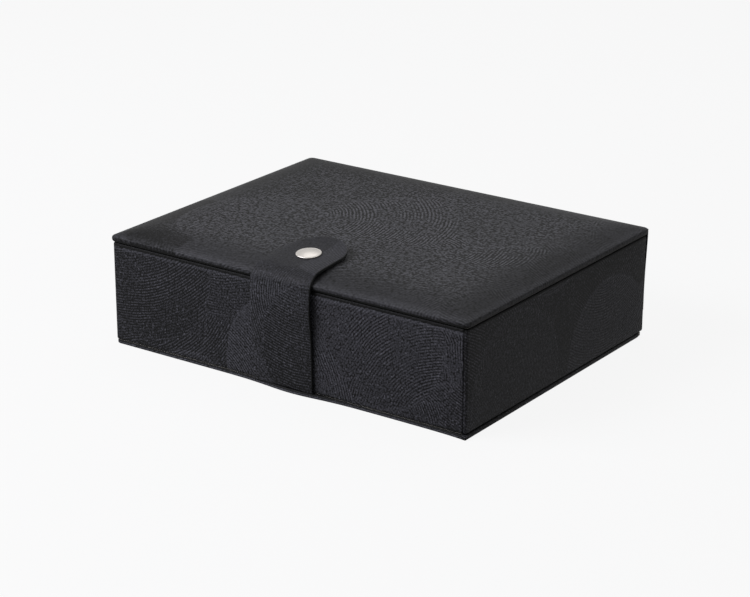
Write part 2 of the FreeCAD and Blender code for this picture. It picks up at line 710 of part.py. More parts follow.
def make_strap():
    """Two plies: the outer folds under the box and bends over the lid, the inner lines it."""
    fold = (FOLD_Y, FOLD_Z)
    bend = (BEND_Y, BEND_Z)
    fold_out = "(fold_radius + ply)"
    bend_mid = "(bend_radius + ply)"
    bend_out = "(bend_radius + 2 * ply)"
    low_side = (-1, -1)
    high_side = (-1, 1)
    root_end = f"({FRONT} + root_length)"

    rooted = banded("root_body", [
        (root_end, BASE_TOP, None), (root_end, f"({BASE_TOP} + ply)", None),
        (FOLD_Y, f"({BASE_TOP} + ply)", "fold_radius"),
        (*on_arc(fold, "fold_radius", low_side, (1, -1)), None),
        (*on_arc(fold, fold_out, low_side, (1, -1)), fold_out),
        (FOLD_Y, BASE_TOP, None)])
    finish(rooted, "strap_root")

    outer = banded("outer_body", [
        (*on_arc(fold, fold_out, low_side, (-1, 1)), None),
        (*on_arc(fold, "fold_radius", low_side, (-1, 1)), "-fold_radius"),
        (f"({FOLD_Y} - fold_radius)", FOLD_Z, None),
        (f"({BEND_Y} - {bend_mid})", BEND_Z, f"-{bend_mid}"),
        (*on_arc(bend, bend_mid, high_side, (-1, -1)), None),
        (*on_arc(bend, bend_out, high_side, (-1, -1)), bend_out),
        (f"({BEND_Y} - {bend_out})", BEND_Z, None),
        (f"({FOLD_Y} - {fold_out})", FOLD_Z, fold_out)])
    finish(outer, "strap_leather")

    lining_low = f"({FOLD_Z} + fold_radius)"
    lining = banded("lining_ply_body", [
        (f"({FOLD_Y} - fold_radius)", lining_low, None), (STRAP_IN_LOW, lining_low, None),
        (STRAP_IN_HIGH, BEND_Z, "-bend_radius"),
        (*on_arc(bend, "bend_radius", high_side, (-1, -1)), None),
        (*on_arc(bend, bend_mid, high_side, (-1, -1)), bend_mid),
        (f"({BEND_Y} - {bend_mid})", BEND_Z, None)])
    finish(lining, "strap_lining")


def tongue_ply(name, inner, low):
    """One ply of the tongue, from the bend to its lifted round tip."""
    bend = (BEND_Y, BEND_Z)
    outer = f"({inner} + ply)"
    side = (-1, 1)
    slip = (1, 1)
    return banded(name, [
        (*on_arc(bend, outer, side, slip), None),
        (*on_arc(bend, inner, side, slip), f"-{inner}"),
        (BEND_Y, low, None), (LIFT_Y, low, None), (TIP_Y, f"({low} + tip_lift)", None),
        (TIP_Y, f"({low} + tip_lift + ply)", None), (LIFT_Y, f"({low} + ply)", None),
        (BEND_Y, f"({low} + ply)", outer)])


def tongue_plan():
    """The tongue seen from above, with its round tip, tall enough for both plies."""
    right = f"({STRAP_LEFT} + strap_width)"
    turn = "(strap_width / 2)"
    body = new_body("tongue_plan")
    outline(body, "plan", "XY_Plane", [
        (STRAP_LEFT, f"({FRONT} - snap_setback)", None), (right, f"({FRONT} - snap_setback)", None),
        (right, f"({TIP_Y} - {turn})", turn), ("strap_offset", TIP_Y, turn),
        (STRAP_LEFT, f"({TIP_Y} - {turn})", None)], RIM)
    pad(body, body.Group[-1], "strap_width")
    return body


def make_tongue():
    """Both plies of the tongue, round at the tip and punched for the snap's post."""
    plan = tongue_plan()
    hole = drum("post_hole", "strap_offset", SNAP_Y, (LID_TOP, f"({TONGUE_TOP} + cap_height)"),
                "(post_radius + snap_fit)")
    for name, inner, low in (("tongue_leather", "(bend_radius + ply)", TONGUE_MID),
                             ("tongue_lining", "bend_radius", TONGUE_LOW)):
        shaped = doc.addObject("Part::MultiCommon", f"{name}_shaped")
        shaped.Shapes = [tongue_ply(f"{name}_band", inner, low), plan]
        finish(cut(f"{name}_punched", shaped, hole), name)


# ---------------------------------------------------------------- snap fastener

def make_snap():
    """A four-part snap: cap and socket on the tongue, stud and rivet on the lid."""
    where = ("strap_offset", SNAP_Y)
    rim_top = f"({TONGUE_TOP} + cap_rim)"
    dome_low = f"({rim_top} + cap_rim / 2)"
    dome_top = f"({TONGUE_TOP} + cap_height)"
    dome_radius = "(cap_radius - cap_rim)"
    dome = [(f"({dome_radius} * {step})", f"({dome_top} - ({dome_top} - {dome_low}) * {step} ^ 2)", None)
            for step in DOME_STEPS]
    cap = turned("cap_body", *where, [
        ("0", POST_END, None), ("post_radius", POST_END, None),
        ("post_radius", TONGUE_TOP, None), ("(cap_radius - cap_edge)", TONGUE_TOP, None),
        ("cap_radius", f"({TONGUE_TOP} + cap_edge)", None), ("cap_radius", rim_top, None),
        (dome_radius, dome_low, None), *dome, ("0", dome_top, None)])
    finish(cap, "snap_cap")

    bore = "(stud_radius + snap_fit)"
    hole = "(post_radius + snap_fit)"
    socket = turned("socket_body", *where, [
        (bore, SOCKET_LOW, None), ("(socket_radius - socket_edge)", SOCKET_LOW, None),
        ("socket_radius", f"({SOCKET_LOW} + socket_edge)", None), ("socket_radius", TONGUE_LOW, None),
        (hole, TONGUE_LOW, None), (hole, SOCKET_ROOF, None), (bore, SOCKET_ROOF, None)])
    finish(socket, "snap_socket")

    waist = "(stud_radius - stud_groove)"
    rivet_hole = "(rivet_radius + snap_fit)"
    bead_low = f"({FLANGE_TOP} + stud_neck)"
    stud = turned("stud_body", *where, [
        (rivet_hole, DIMPLE, None), ("flange_radius", DIMPLE, None), ("flange_radius", FLANGE_TOP, None),
        (waist, FLANGE_TOP, None), (waist, bead_low, None),
        ("stud_radius", f"({bead_low} + stud_round)", None),
        ("stud_radius", f"({STUD_TOP} - stud_round)", None),
        ("(stud_radius - stud_round)", STUD_TOP, None), ("0", STUD_TOP, None),
        ("0", f"({bead_low} + snap_fit)", None), (rivet_hole, f"({bead_low} + snap_fit)", None)])
    finish(stud, "snap_stud")

    rivet = turned("rivet_body", *where, [
        ("0", f"({LID_BOARD_LOW} - rivet_head_thick)", None),
        ("rivet_head", f"({LID_BOARD_LOW} - rivet_head_thick)", None),
        ("rivet_head", LID_BOARD_LOW, None), ("rivet_radius", LID_BOARD_LOW, None),
        ("rivet_radius", bead_low, None), ("0", bead_low, None)])
    finish(rivet, "stud_rivet")


# ---------------------------------------------------------------- drawer

def make_drawer_front():
    """A board wrapped in leather that closes the whole right end of the box."""
    span = (FRONT, BACK)
    tall = (PANEL_LOW, PANEL_TOP)
    wrap = new_body("panel_wrap_body")
    outline(wrap, "face", "YZ_Plane", rounded(span, tall, "rim_round"), PANEL_IN)
    pad(wrap, wrap.Group[-1], "front_panel")
    dress(wrap, "Fillet", "panel_round", lambda middle, along: near(middle.x, RIGHT))
    board = block("panel_board_blank", (f"({PANEL_IN} + front_backing)", f"({RIGHT} - leather)"),
                  shrunk(span, "panel_round"), shrunk(tall, "panel_round"))
    backing = block("panel_backing_blank", (PANEL_IN, f"({PANEL_IN} + front_backing)"),
                    shrunk(span, "2 * panel_round"), shrunk(tall, "2 * panel_round"))
    finish(board, "drawer_front_board")
    finish(backing, "drawer_front_backing")
    finish(cut("panel_wrap", wrap, board, backing), "drawer_front_leather")


def make_drawer_bin():
    """A shallow bin glued behind the front, lined with velvet and divided."""
    x = (BIN_LEFT, PANEL_IN)
    y = (BIN_FRONT, BIN_BACK)
    walls = (BIN_LOW, BIN_TOP)
    tail = (BIN_LEFT, f"({BIN_LEFT} + bin_board)")
    head = (f"({PANEL_IN} - bin_board)", PANEL_IN)
    between = shrunk(y, "bin_board")
    finish(block("bin_floor_blank", (tail[1], head[0]), between, (BIN_LOW, BIN_FLOOR_TOP)),
           "drawer_floor")
    finish(block("bin_side_f", x, (y[0], between[0]), walls), "drawer_side_front")
    finish(block("bin_side_b", x, (between[1], y[1]), walls), "drawer_side_back")
    finish(block("bin_tail", tail, between, (BIN_LOW, f"({BIN_LOW} + bin_tail_height)")),
           "drawer_inner_end")
    finish(block("bin_head", head, between, walls), "drawer_outer_end")

    lining = new_body("bin_lining_body")
    outer = (tail[1], head[0]), between
    outline(lining, "plan", "XY_Plane", rectangle(*outer), BIN_FLOOR_TOP)
    pad(lining, lining.Group[-1], f"{BIN_TOP} - {BIN_FLOOR_TOP}")
    inner = shrunk(outer[0], "bin_lining"), shrunk(outer[1], "bin_lining")
    outline(lining, "hollow", "XY_Plane", rounded(*inner, "bin_lining"), BIN_INSIDE_LOW)
    pocket(lining, lining.Group[-1], "rim_height", upward=True)
    finish(lining, "drawer_lining")


def make_drawer_grid():
    span_x = (BIN_INSIDE_LEFT, BIN_INSIDE_RIGHT)
    span_y = (BIN_INSIDE_FRONT, BIN_INSIDE_BACK)
    high = f"({BIN_INSIDE_LOW} + bin_divider_height)"
    columns = shares(span_x, BIN_COLUMNS)
    finish(halved("bin_long", "XZ_Plane", shrunk(span_x, "place_fit"), "0", columns,
                  BIN_INSIDE_LOW, high, True), "drawer_divider_long")
    for index, column in enumerate(columns, 1):
        finish(halved(f"bin_cross_{index}", "YZ_Plane", shrunk(span_y, "place_fit"), column, ["0"],
                      BIN_INSIDE_LOW, high, False), f"drawer_divider_cross_{index}")


def write_parts():
    """Checks every object and every piece, then writes one STEP file for each piece."""
    doc.recompute()
    for item in doc.Objects:
        if "Invalid" in item.State or "Error" in item.State:
            raise RuntimeError(f"{item.Name} ({item.Label}) is {item.State}")
    os.makedirs("parts", exist_ok=True)
    for item in parts:
        shape = item.Shape
        if shape.isNull() or not shape.isValid() or not shape.Solids:
            raise RuntimeError(f"{item.Label} has no valid solid")
        shape.exportStep(os.path.join("parts", f"{item.Label}.step"))
        box = shape.BoundBox
        print(f"{item.Label:28s} {len(shape.Solids)} {shape.Volume:11.1f}"
              f"  x {box.XMin:8.2f} {box.XMax:8.2f}  y {box.YMin:8.2f} {box.YMax:8.2f}"
              f"  z {box.ZMin:7.2f} {box.ZMax:7.2f}")


make_base()
make_case_walls()
make_case_inside()
make_tray_end()
make_tray_lining()
make_tray_grid()
make_rolls()
make_lid()
make_lid_pad()
make_hinge()
make_strap()
make_tongue()
make_snap()
make_drawer_front()
make_drawer_bin()
make_drawer_grid()
write_parts()
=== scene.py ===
import math

import bmesh
import bpy
from mathutils import Matrix, Vector, noise


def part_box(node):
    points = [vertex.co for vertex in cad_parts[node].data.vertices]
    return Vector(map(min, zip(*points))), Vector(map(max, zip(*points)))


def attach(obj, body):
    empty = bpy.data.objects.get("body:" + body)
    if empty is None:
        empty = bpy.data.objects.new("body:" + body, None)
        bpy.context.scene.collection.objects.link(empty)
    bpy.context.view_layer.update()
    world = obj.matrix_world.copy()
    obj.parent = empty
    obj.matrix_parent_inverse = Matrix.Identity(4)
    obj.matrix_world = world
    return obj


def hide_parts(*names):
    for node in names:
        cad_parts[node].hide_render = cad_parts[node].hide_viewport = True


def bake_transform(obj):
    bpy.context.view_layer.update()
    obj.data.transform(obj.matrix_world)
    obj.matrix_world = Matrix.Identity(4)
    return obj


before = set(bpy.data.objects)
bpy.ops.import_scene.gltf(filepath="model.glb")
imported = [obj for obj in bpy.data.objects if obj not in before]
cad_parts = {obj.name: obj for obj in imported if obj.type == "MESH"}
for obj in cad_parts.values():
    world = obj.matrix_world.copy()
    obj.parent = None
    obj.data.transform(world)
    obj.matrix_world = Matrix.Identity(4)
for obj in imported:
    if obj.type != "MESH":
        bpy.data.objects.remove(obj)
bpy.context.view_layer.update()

# A jewellery and cufflink box in combed black leather: padded lid, snap strap, divided tray and
# a drawer behind the right end. Metres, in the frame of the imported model.
MM = 0.001
QUARTER = math.pi / 2

# Camera
CAMERA_AZIMUTH = math.radians(35.47)
CAMERA_ELEVATION = math.radians(20.22)
CAMERA_DISTANCE = 1408.8 * MM
CAMERA_TARGET = Vector((-4.06, 0, 25.04)) * MM
CAMERA_LENS = 112.35  # millimetres on a 36 mm wide sensor

# Construction
LEATHER_EDGE = 1.1 * MM  # rounding of a board wrapped in leather
WALL = 3.0 * MM  # board and leather of the case walls
WALL_CORNER = 2.4 * MM
BASE_CORNER = 3.0 * MM  # corners at the left
BASE_BACK_CORNER = 6.0 * MM  # corner at the back right
BASE_SHARP_CORNER = 0.7 * MM  # corner at the front right, where the wrapping is thinnest
BASE_EDGE = 0.8 * MM
ROOT_BULGE = 3.0 * MM  # the base panel's front edge, pushed out by the strap's root
ROOT_X = 8.0 * MM
ROOT_SPREAD = 24.0 * MM
CORNER_FLARE = 1.6 * MM  # the same edge, standing out at the front right corner
FLARE_LENGTH = 12.0 * MM
LID_EDGE = 4.0 * MM  # lid thickness at its edge
LID_CORNER = 3.0 * MM
LID_TURN_UNDER = 1.8 * MM  # rounding below the lid's edge
LID_SHOULDER = 1.2 * MM  # rounding above it
CROWN_CORNER = 17.0 * MM  # corner of the crown's flat
CROWN_RUN = 32.0 * MM  # from the lid's outline to that flat
CROWN_POWER = 2.5
UNEVEN = 0.22 * MM  # how far the crown dips and swells
CROWN_DIPS = 14  # how many to the metre
CROWN_STEPS = (0.05, 0.12, 0.2, 0.29, 0.39, 0.5, 0.62, 0.74, 0.87, 1.0)
STRAP_THICK = 2.0 * MM
STRAP_LEAN = 0.9 * MM  # the strap's foot, nearer to the wall than its top
BEND_RADIUS = 10.0 * MM  # outside of the bend over the lid's edge
FOLD_RADIUS = 1.4 * MM  # outside of the fold under the box
FOLD_Z = 4.0 * MM  # centre of that fold
BAND_JOIN = 8.0 * MM  # where the root band ends and the long band begins
TIP_LIFT = 3.2 * MM  # how far the tongue's free tip stands over its start in the frame
TIP_RUN = 21.5 * MM  # length of the tongue's last stretch, which holds the round tip
TIP_CORNER = 20.9 * MM  # rounding of the tip, just under half the tongue's width
TIP_CURL = 1.6 * MM  # rise of the tip over the tongue's own slope
BEND_NARROW = 0.05  # share of its width that the strap loses over the bend
TONGUE_SLOPE = math.radians(4.3)
CURL_POWER = 1.6
BEND_SAG = 0.8 * MM  # how far the bend sinks onto the lid's soft edge
STRAP_BULGE = 1.5 * MM  # how far the strap stands out below it
PLY = STRAP_THICK / 2
PLY_EDGE = 0.45 * MM  # rounding of the strap's edges
HINGE_LEATHER = 0.8 * MM
HINGE_BOND_TOP = 34.0 * MM  # where the hinge leather leaves the back wall
HINGE_TURN = 63.2 * MM  # where it turns upright again at the lid's edge
HINGE_BENDS = 9.0 * MM, 1.5 * MM  # how gently it bends at those two heights
DIMPLE_RADIUS = 6.4 * MM  # dimple in the lid, round the snap's stud
POST_RADIUS = 1.7 * MM  # shank of the snap's cap
CAP_HEIGHT = 2.0 * MM
CAP_DOME = 1.25 * MM
CAP_ROLL = 0.35 * MM  # rolled rim of the cap
TRAY_WALL = 0.8 * MM
BIN_WALL = 0.6 * MM
SCOOP_RADIUS = 13.0 * MM  # finger scoop in the tray's right wall
SCOOP_CENTRE = 66.0 * MM
SCOOP_EDGE = 0.9 * MM
DIVIDER_EDGE = 0.75 * MM
PAD_CORNER = 1.5 * MM  # velvet pad in the lid
PAD_EDGE = 0.8 * MM
SLOT_HALF = 1.1 * MM  # half the width of a slot in a divider
ROLLS = 5
ROLL_GAP = 0.3 * MM
ROLL_SINK = 1.6 * MM  # how far the rolls sink at their ends, and over which length
ROLL_SINK_LENGTH = 3.0 * MM
ROLL_ROUND = 0.47  # rounding of a roll's top, as a share of its width
ROLL_DENT = 0.25 * MM
ROLL_DENTS = 30  # how many to the metre
PANEL_ROUND = 1.3 * MM  # rounding of the drawer front's face
PANEL_CORNER = 1.2 * MM
PANEL_LOW_CORNER = 1.4 * MM  # its lower corner at the back
BACKING_INSET = 3.2 * MM  # margin of leather round the card behind it
BACKING_THICK = 0.4 * MM
EDGE_HIGHLIGHT = 0.16  # painted highlight: how much paler the leather is painted along a rounded edge that catches the light
EDGE_HIGHLIGHT_WIDTH = 1.0 * MM
SLOPE_SHEEN = 0.06  # painted sheen: how much paler the leather is painted down the lid's slopes, where it is drawn tight
BOARD_EDGE = 0.35 * MM
NEAR = 0.05 * MM


# ---- modelling by hand

def leave():
    """Back to object mode with nothing selected."""
    if bpy.context.mode != "OBJECT":
        bpy.ops.object.mode_set(mode="OBJECT")
    bpy.ops.object.select_all(action="DESELECT")


def take(piece):
    """Makes a piece the only selected and active one."""
    leave()
    piece.select_set(True)
    bpy.context.view_layer.objects.active = piece


def settle(piece):
    """Puts a piece's place, turn and size into its mesh."""
    take(piece)
    bpy.ops.object.transform_apply(location=True, rotation=True, scale=True)
    return piece


def edit(piece):
    take(piece)
    bpy.ops.object.mode_set(mode="EDIT")


def named(name):
    piece = bpy.context.object
    piece.name = name
    piece.data.name = name
    return piece


def block(name, low, high):
    """A box between two corners, as a start."""
    leave()
    low, high = Vector(low), Vector(high)
    bpy.ops.mesh.primitive_cube_add(size=1, location=(low + high) / 2)
    piece = named(name)
    piece.scale = high - low
    return settle(piece)


def boxed(name, node):
    """A box as large as a node, as a start, with its two corners."""
    low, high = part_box(node)
    return block(name, low, high), low, high


def sheet(name, place, turn, size):
    """A flat sheet in edit mode, as a start for a strip that is drawn out from its edges."""
    leave()
    bpy.ops.mesh.primitive_plane_add(size=1, rotation=turn, location=place)
    piece = named(name)
    piece.scale = size
    settle(piece)
    edit(piece)
    return piece


def select_all(action="SELECT"):
    bpy.ops.mesh.select_all(action=action)


def pull(shift):
    """Extrudes what is selected."""
    bpy.ops.mesh.extrude_region_move(TRANSFORM_OT_translate={"value": shift})


def bevel(width, steps, kind="EDGES"):
    bpy.ops.mesh.bevel(offset=width, segments=steps, affect=kind)


def face_outwards():
    select_all()
    bpy.ops.mesh.normals_make_consistent(inside=False)


def pick(piece, kind, test):
    """Selects the vertices, edges or faces whose middle and direction pass a test, in edit mode."""
    bpy.ops.mesh.select_mode(type=kind)
    select_all("DESELECT")
    mesh = bmesh.from_edit_mesh(piece.data)
    mesh.normal_update()
    if kind == "VERT":
        found = [(item, item.co, item.normal) for item in mesh.verts]
    elif kind == "EDGE":
        found = [(item, (item.verts[0].co + item.verts[1].co) / 2,
                  (item.verts[1].co - item.verts[0].co).normalized()) for item in mesh.edges]
    else:
        found = [(item, item.calc_center_median(), item.normal) for item in mesh.faces]
    for item, middle, way in found:
        item.select_set(test(middle, way))
    mesh.select_flush_mode()
    bmesh.update_edit_mesh(piece.data)


def soften(piece, width, steps, where=lambda middle: True, turn=50):
    """Rounds the edges whose faces meet at more than a turn in degrees."""
    edit(piece)
    bpy.ops.mesh.select_mode(type="EDGE")
    select_all("DESELECT")
    mesh = bmesh.from_edit_mesh(piece.data)
    for item in mesh.edges:
        middle = (item.verts[0].co + item.verts[1].co) / 2
        item.select_set(item.is_manifold and item.calc_face_angle(0) > math.radians(turn)
                        and where(middle))
    bmesh.update_edit_mesh(piece.data)
    bevel(width, steps)
    leave()


def pull_top(piece, height, y=None):
    """Extrudes a strip's top edge to a height, and across to a y where one is given."""
    mesh = bmesh.from_edit_mesh(piece.data)
    top = max(vertex.co.z for vertex in mesh.verts)
    across = 0 if y is None else y - max(vertex.co.y for vertex in mesh.verts)
    pick(piece, "EDGE", lambda middle, way: middle.z > top - NEAR)
    pull((0, across, height - top))


def slice_up(piece, axis, places):
    """Cuts a mesh across one axis at several places, to give it vertices there."""
    edit(piece)
    normal = Vector((axis == "x", axis == "y", axis == "z"))
    for place in places:
        select_all()
        bpy.ops.mesh.bisect(plane_co=normal * place, plane_no=normal)
    leave()


def span(start, end, step):
    """Evenly spaced places between two planes, without the planes themselves."""
    count = max(1, round((end - start) / step))
    return [start + (end - start) * index / count for index in range(1, count)]


def modify(piece, kind, **settings):
    """Adds a modifier and applies it."""
    take(piece)
    modifier = piece.modifiers.new(kind.lower(), kind)
    for key, value in settings.items():
        setattr(modifier, key, value)
    bpy.ops.object.modifier_apply(modifier=modifier.name)


def carve(piece, *tools):
    """Cuts tools out of a piece and removes them."""
    for tool in tools:
        modify(piece, "BOOLEAN", operation="DIFFERENCE", object=tool, solver="EXACT")
        bpy.data.objects.remove(tool)


def drill(piece, radius, depth, centre, sides=96, turn=(0, 0, 0)):
    """Cuts a round hole or scoop into a piece."""
    leave()
    bpy.ops.mesh.primitive_cylinder_add(vertices=sides, radius=radius, depth=depth, location=centre,
                                        rotation=turn)
    carve(piece, settle(named("drill")))


def turned(name, axis, profile):
    """Draws a circle up through (radius, height) pairs, which end on the axis or where they began."""
    leave()
    radius, height = profile[0]
    bpy.ops.mesh.primitive_circle_add(vertices=64, radius=radius, location=(axis.x, axis.y, height))
    piece = settle(named(name))
    edit(piece)
    select_all()
    for next_radius, next_height in profile[1:]:
        pull((0, 0, next_height - height))
        if next_radius == 0:
            bpy.ops.mesh.merge(type="CENTER")
        else:
            share = next_radius / radius
            bpy.ops.transform.resize(value=(share, share, 1),
                                     center_override=(axis.x, axis.y, next_height))
        radius, height = next_radius, next_height
    select_all()
    bpy.ops.mesh.remove_doubles(threshold=0.001 * MM)
    select_all("DESELECT")
    bpy.ops.mesh.select_non_manifold()
    if piece.data.total_edge_sel:
        bpy.ops.mesh.edge_face_add()
    face_outwards()
    leave()
    return piece


def copied(piece, name, shift):
    """A copy with a mesh of its own, moved by a shift."""
    twin = piece.copy()
    twin.data = piece.data.copy()
    twin.name = name
    twin.data.name = name
    bpy.context.scene.collection.objects.link(twin)
    twin.location = shift
    return settle(twin)


def dressed(piece, slot, nodes, body=None, smooth=38):
    """Shades a finished piece and hangs it on its body. A piece without a material gets its
    slot's, or else the walls' leather."""
    settle(piece)
    bpy.ops.object.shade_smooth_by_angle(angle=math.radians(smooth))
    if not piece.data.materials:
        piece.data.materials.append(MATERIALS.get(slot, MATERIALS["leather"]))
    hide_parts(*nodes)
    if body:
        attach(piece, body)
    return piece


def lay_grain(piece, unroll):
    """Maps the leather's own plane, in metres: unroll turns a point and a face's normal into (u, v)."""
    layer = piece.data.uv_layers.get("grain") or piece.data.uv_layers.new(name="grain")
    for face in piece.data.polygons:
        for loop in face.loop_indices:
            point = piece.data.vertices[piece.data.loops[loop].vertex_index].co
            layer.data[loop].uv = unroll(point, face.normal)


def mark(piece, name, value_at):
    """Gives each point of a piece a value, which its material reads by name."""
    layer = piece.data.attributes.new(name, "FLOAT", "POINT")
    for index, vertex in enumerate(piece.data.vertices):
        layer.data[index].value = value_at(vertex.co)


def mark_painted_light(piece, painted_at):
    """Paints light into each point: a painted highlight on a rounded edge, below 0, up to painted shade in a
    gap or at a foot, at 1.
    """
    mark(piece, "painted_light", lambda point: min(1.0, max(-2 * EDGE_HIGHLIGHT, painted_at(point))))


def swell(place, centre, width):
    """A smooth rise to 1 at a centre."""
    return math.exp(-((place - centre) / width) ** 2)


def between(table, place):
    """A value read off a table of (place, value) pairs, straight between its rows."""
    if place <= table[0][0]:
        return table[0][1]
    for (start, first), (end, last) in zip(table, table[1:]):
        if place <= end:
            return first + (last - first) * (place - start) / (end - start)
    return table[-1][1]


# ---- materials

def linear(colour):
    """An sRGB hex value as a linear colour."""
    channels = [int(colour[index:index + 2], 16) / 255 for index in (0, 2, 4)]
    return (*(c / 12.92 if c <= 0.04045 else ((c + 0.055) / 1.055) ** 2.4 for c in channels), 1.0)


def add(tree, kind, inputs=None, **settings):
    """Adds a node with its settings; inputs holds values, or the outputs or nodes to link."""
    item = tree.nodes.new(f"ShaderNode{kind}")
    for key, value in settings.items():
        setattr(item, key, value)
    for key, value in (inputs or {}).items():
        if isinstance(value, bpy.types.Node):
            value = value.outputs[0]
        if isinstance(value, bpy.types.NodeSocket):
            tree.links.new(value, item.inputs[key])
        else:
            item.inputs[key].default_value = value
    return item


def new_material(name, **sockets):
    material = bpy.data.materials.new(name)
    material.use_nodes = True
    shader = material.node_tree.nodes["Principled BSDF"]
    for key, value in sockets.items():
        shader.inputs[key.replace("_", " ")].default_value = value
    return material, material.node_tree, shader


# The hide's pattern
FAN_LAYERS = 3
FAN_PITCH = 84 * MM  # distance between fans of one layer
FAN_REACH = 0.56  # radius of a fan, as a share of that distance
FAN_THROW = 80 * MM  # from the middle of a fan to the centre of its lines
LAYER_SHIFT = 37 * MM, 21 * MM  # how far a layer of fans lies from the one under it
LAYER_TURN = 0.9
COMB_PITCH = 1.65 * MM  # distance between combed lines
COMB_WANDER = 3 * MM  # how far the lines stray from their circles
WANDER_LENGTH = 24 * MM  # length over which they do
PATCH = 30 * MM  # size of the patches in which the lines come and go
GLINT = 2.4 * MM  # distance between the grains, of which a few get a painted glint
PEBBLE = 1.1 * MM  # width of a grain, a little over the real one so that it shows
GRIT = 2.1 * MM  # width of the crumpling between the grains
LEATHER_DEPTH = 0.08 * MM  # depth of a combed line, against which the weights are given
PEBBLE_WEIGHT = -1.6
OUTLINE_WEIGHT = 0.25
CREST = 0.42  # painted highlight: how much paler the colour is painted on the high grain than on its low one, where crests catch the light
CREST_MEAN = 0.8  # middle height of that grain
FAN_SHADE = 0.32  # how much the fans differ in shade
DULLNESS = 0.14  # how far all the leather is under the middle shade
FLATTENED = 0.85  # share of the grain that goes where the leather is drawn tight
CLOUD = 28 * MM  # size of the faint clouds in plain materials


def combed_fan(tree, plan, wobble, layer, grain):
    """One layer of fans: their combed lines, shades and outlines, and where they cover."""
    shift = (LAYER_SHIFT[0] * layer, LAYER_SHIFT[1] * layer, 0)
    laid = add(tree, "Mapping", {"Vector": plan, "Location": shift, "Rotation": (0, 0, LAYER_TURN * layer)})
    fans = add(tree, "TexVoronoi", {"Vector": laid, "Scale": 1 / FAN_PITCH, "Randomness": 0.85},
               voronoi_dimensions="2D")
    chance = add(tree, "SeparateColor", {0: fans.outputs["Color"]}).outputs
    turn = add(tree, "Math", {0: chance[0], 1: math.tau}, operation="MULTIPLY")
    cosine, sine = (add(tree, "Math", {0: turn}, operation=kind) for kind in ("COSINE", "SINE"))
    aim = add(tree, "CombineXYZ", {0: cosine, 1: sine})
    focus = add(tree, "VectorMath", {0: aim, 1: (FAN_THROW, FAN_THROW, 0), 2: fans.outputs["Position"]},
                operation="MULTIPLY_ADD")
    radius = add(tree, "VectorMath", {0: laid, 1: focus}, operation="DISTANCE").outputs["Value"]
    bent = add(tree, "Math", {0: wobble, 1: COMB_WANDER, 2: radius}, operation="MULTIPLY_ADD")
    pitch = COMB_PITCH * (1 + grain) / 2
    phase = add(tree, "Math", {0: bent, 1: math.tau / pitch}, operation="MULTIPLY")
    lines = add(tree, "Math", {0: phase}, operation="SINE")
    inside = add(tree, "MapRange", {0: fans.outputs["Distance"], 1: FAN_REACH, 2: FAN_REACH - 0.03,
                                    3: 0.0, 4: 1.0}, interpolation_type="SMOOTHSTEP")
    rim = add(tree, "MapRange", {0: fans.outputs["Distance"], 1: FAN_REACH - 0.04, 2: FAN_REACH,
                                 3: 0.0, 4: math.pi})
    hoop = add(tree, "Math", {0: rim}, operation="SINE")
    return lines, chance[2], hoop, inside


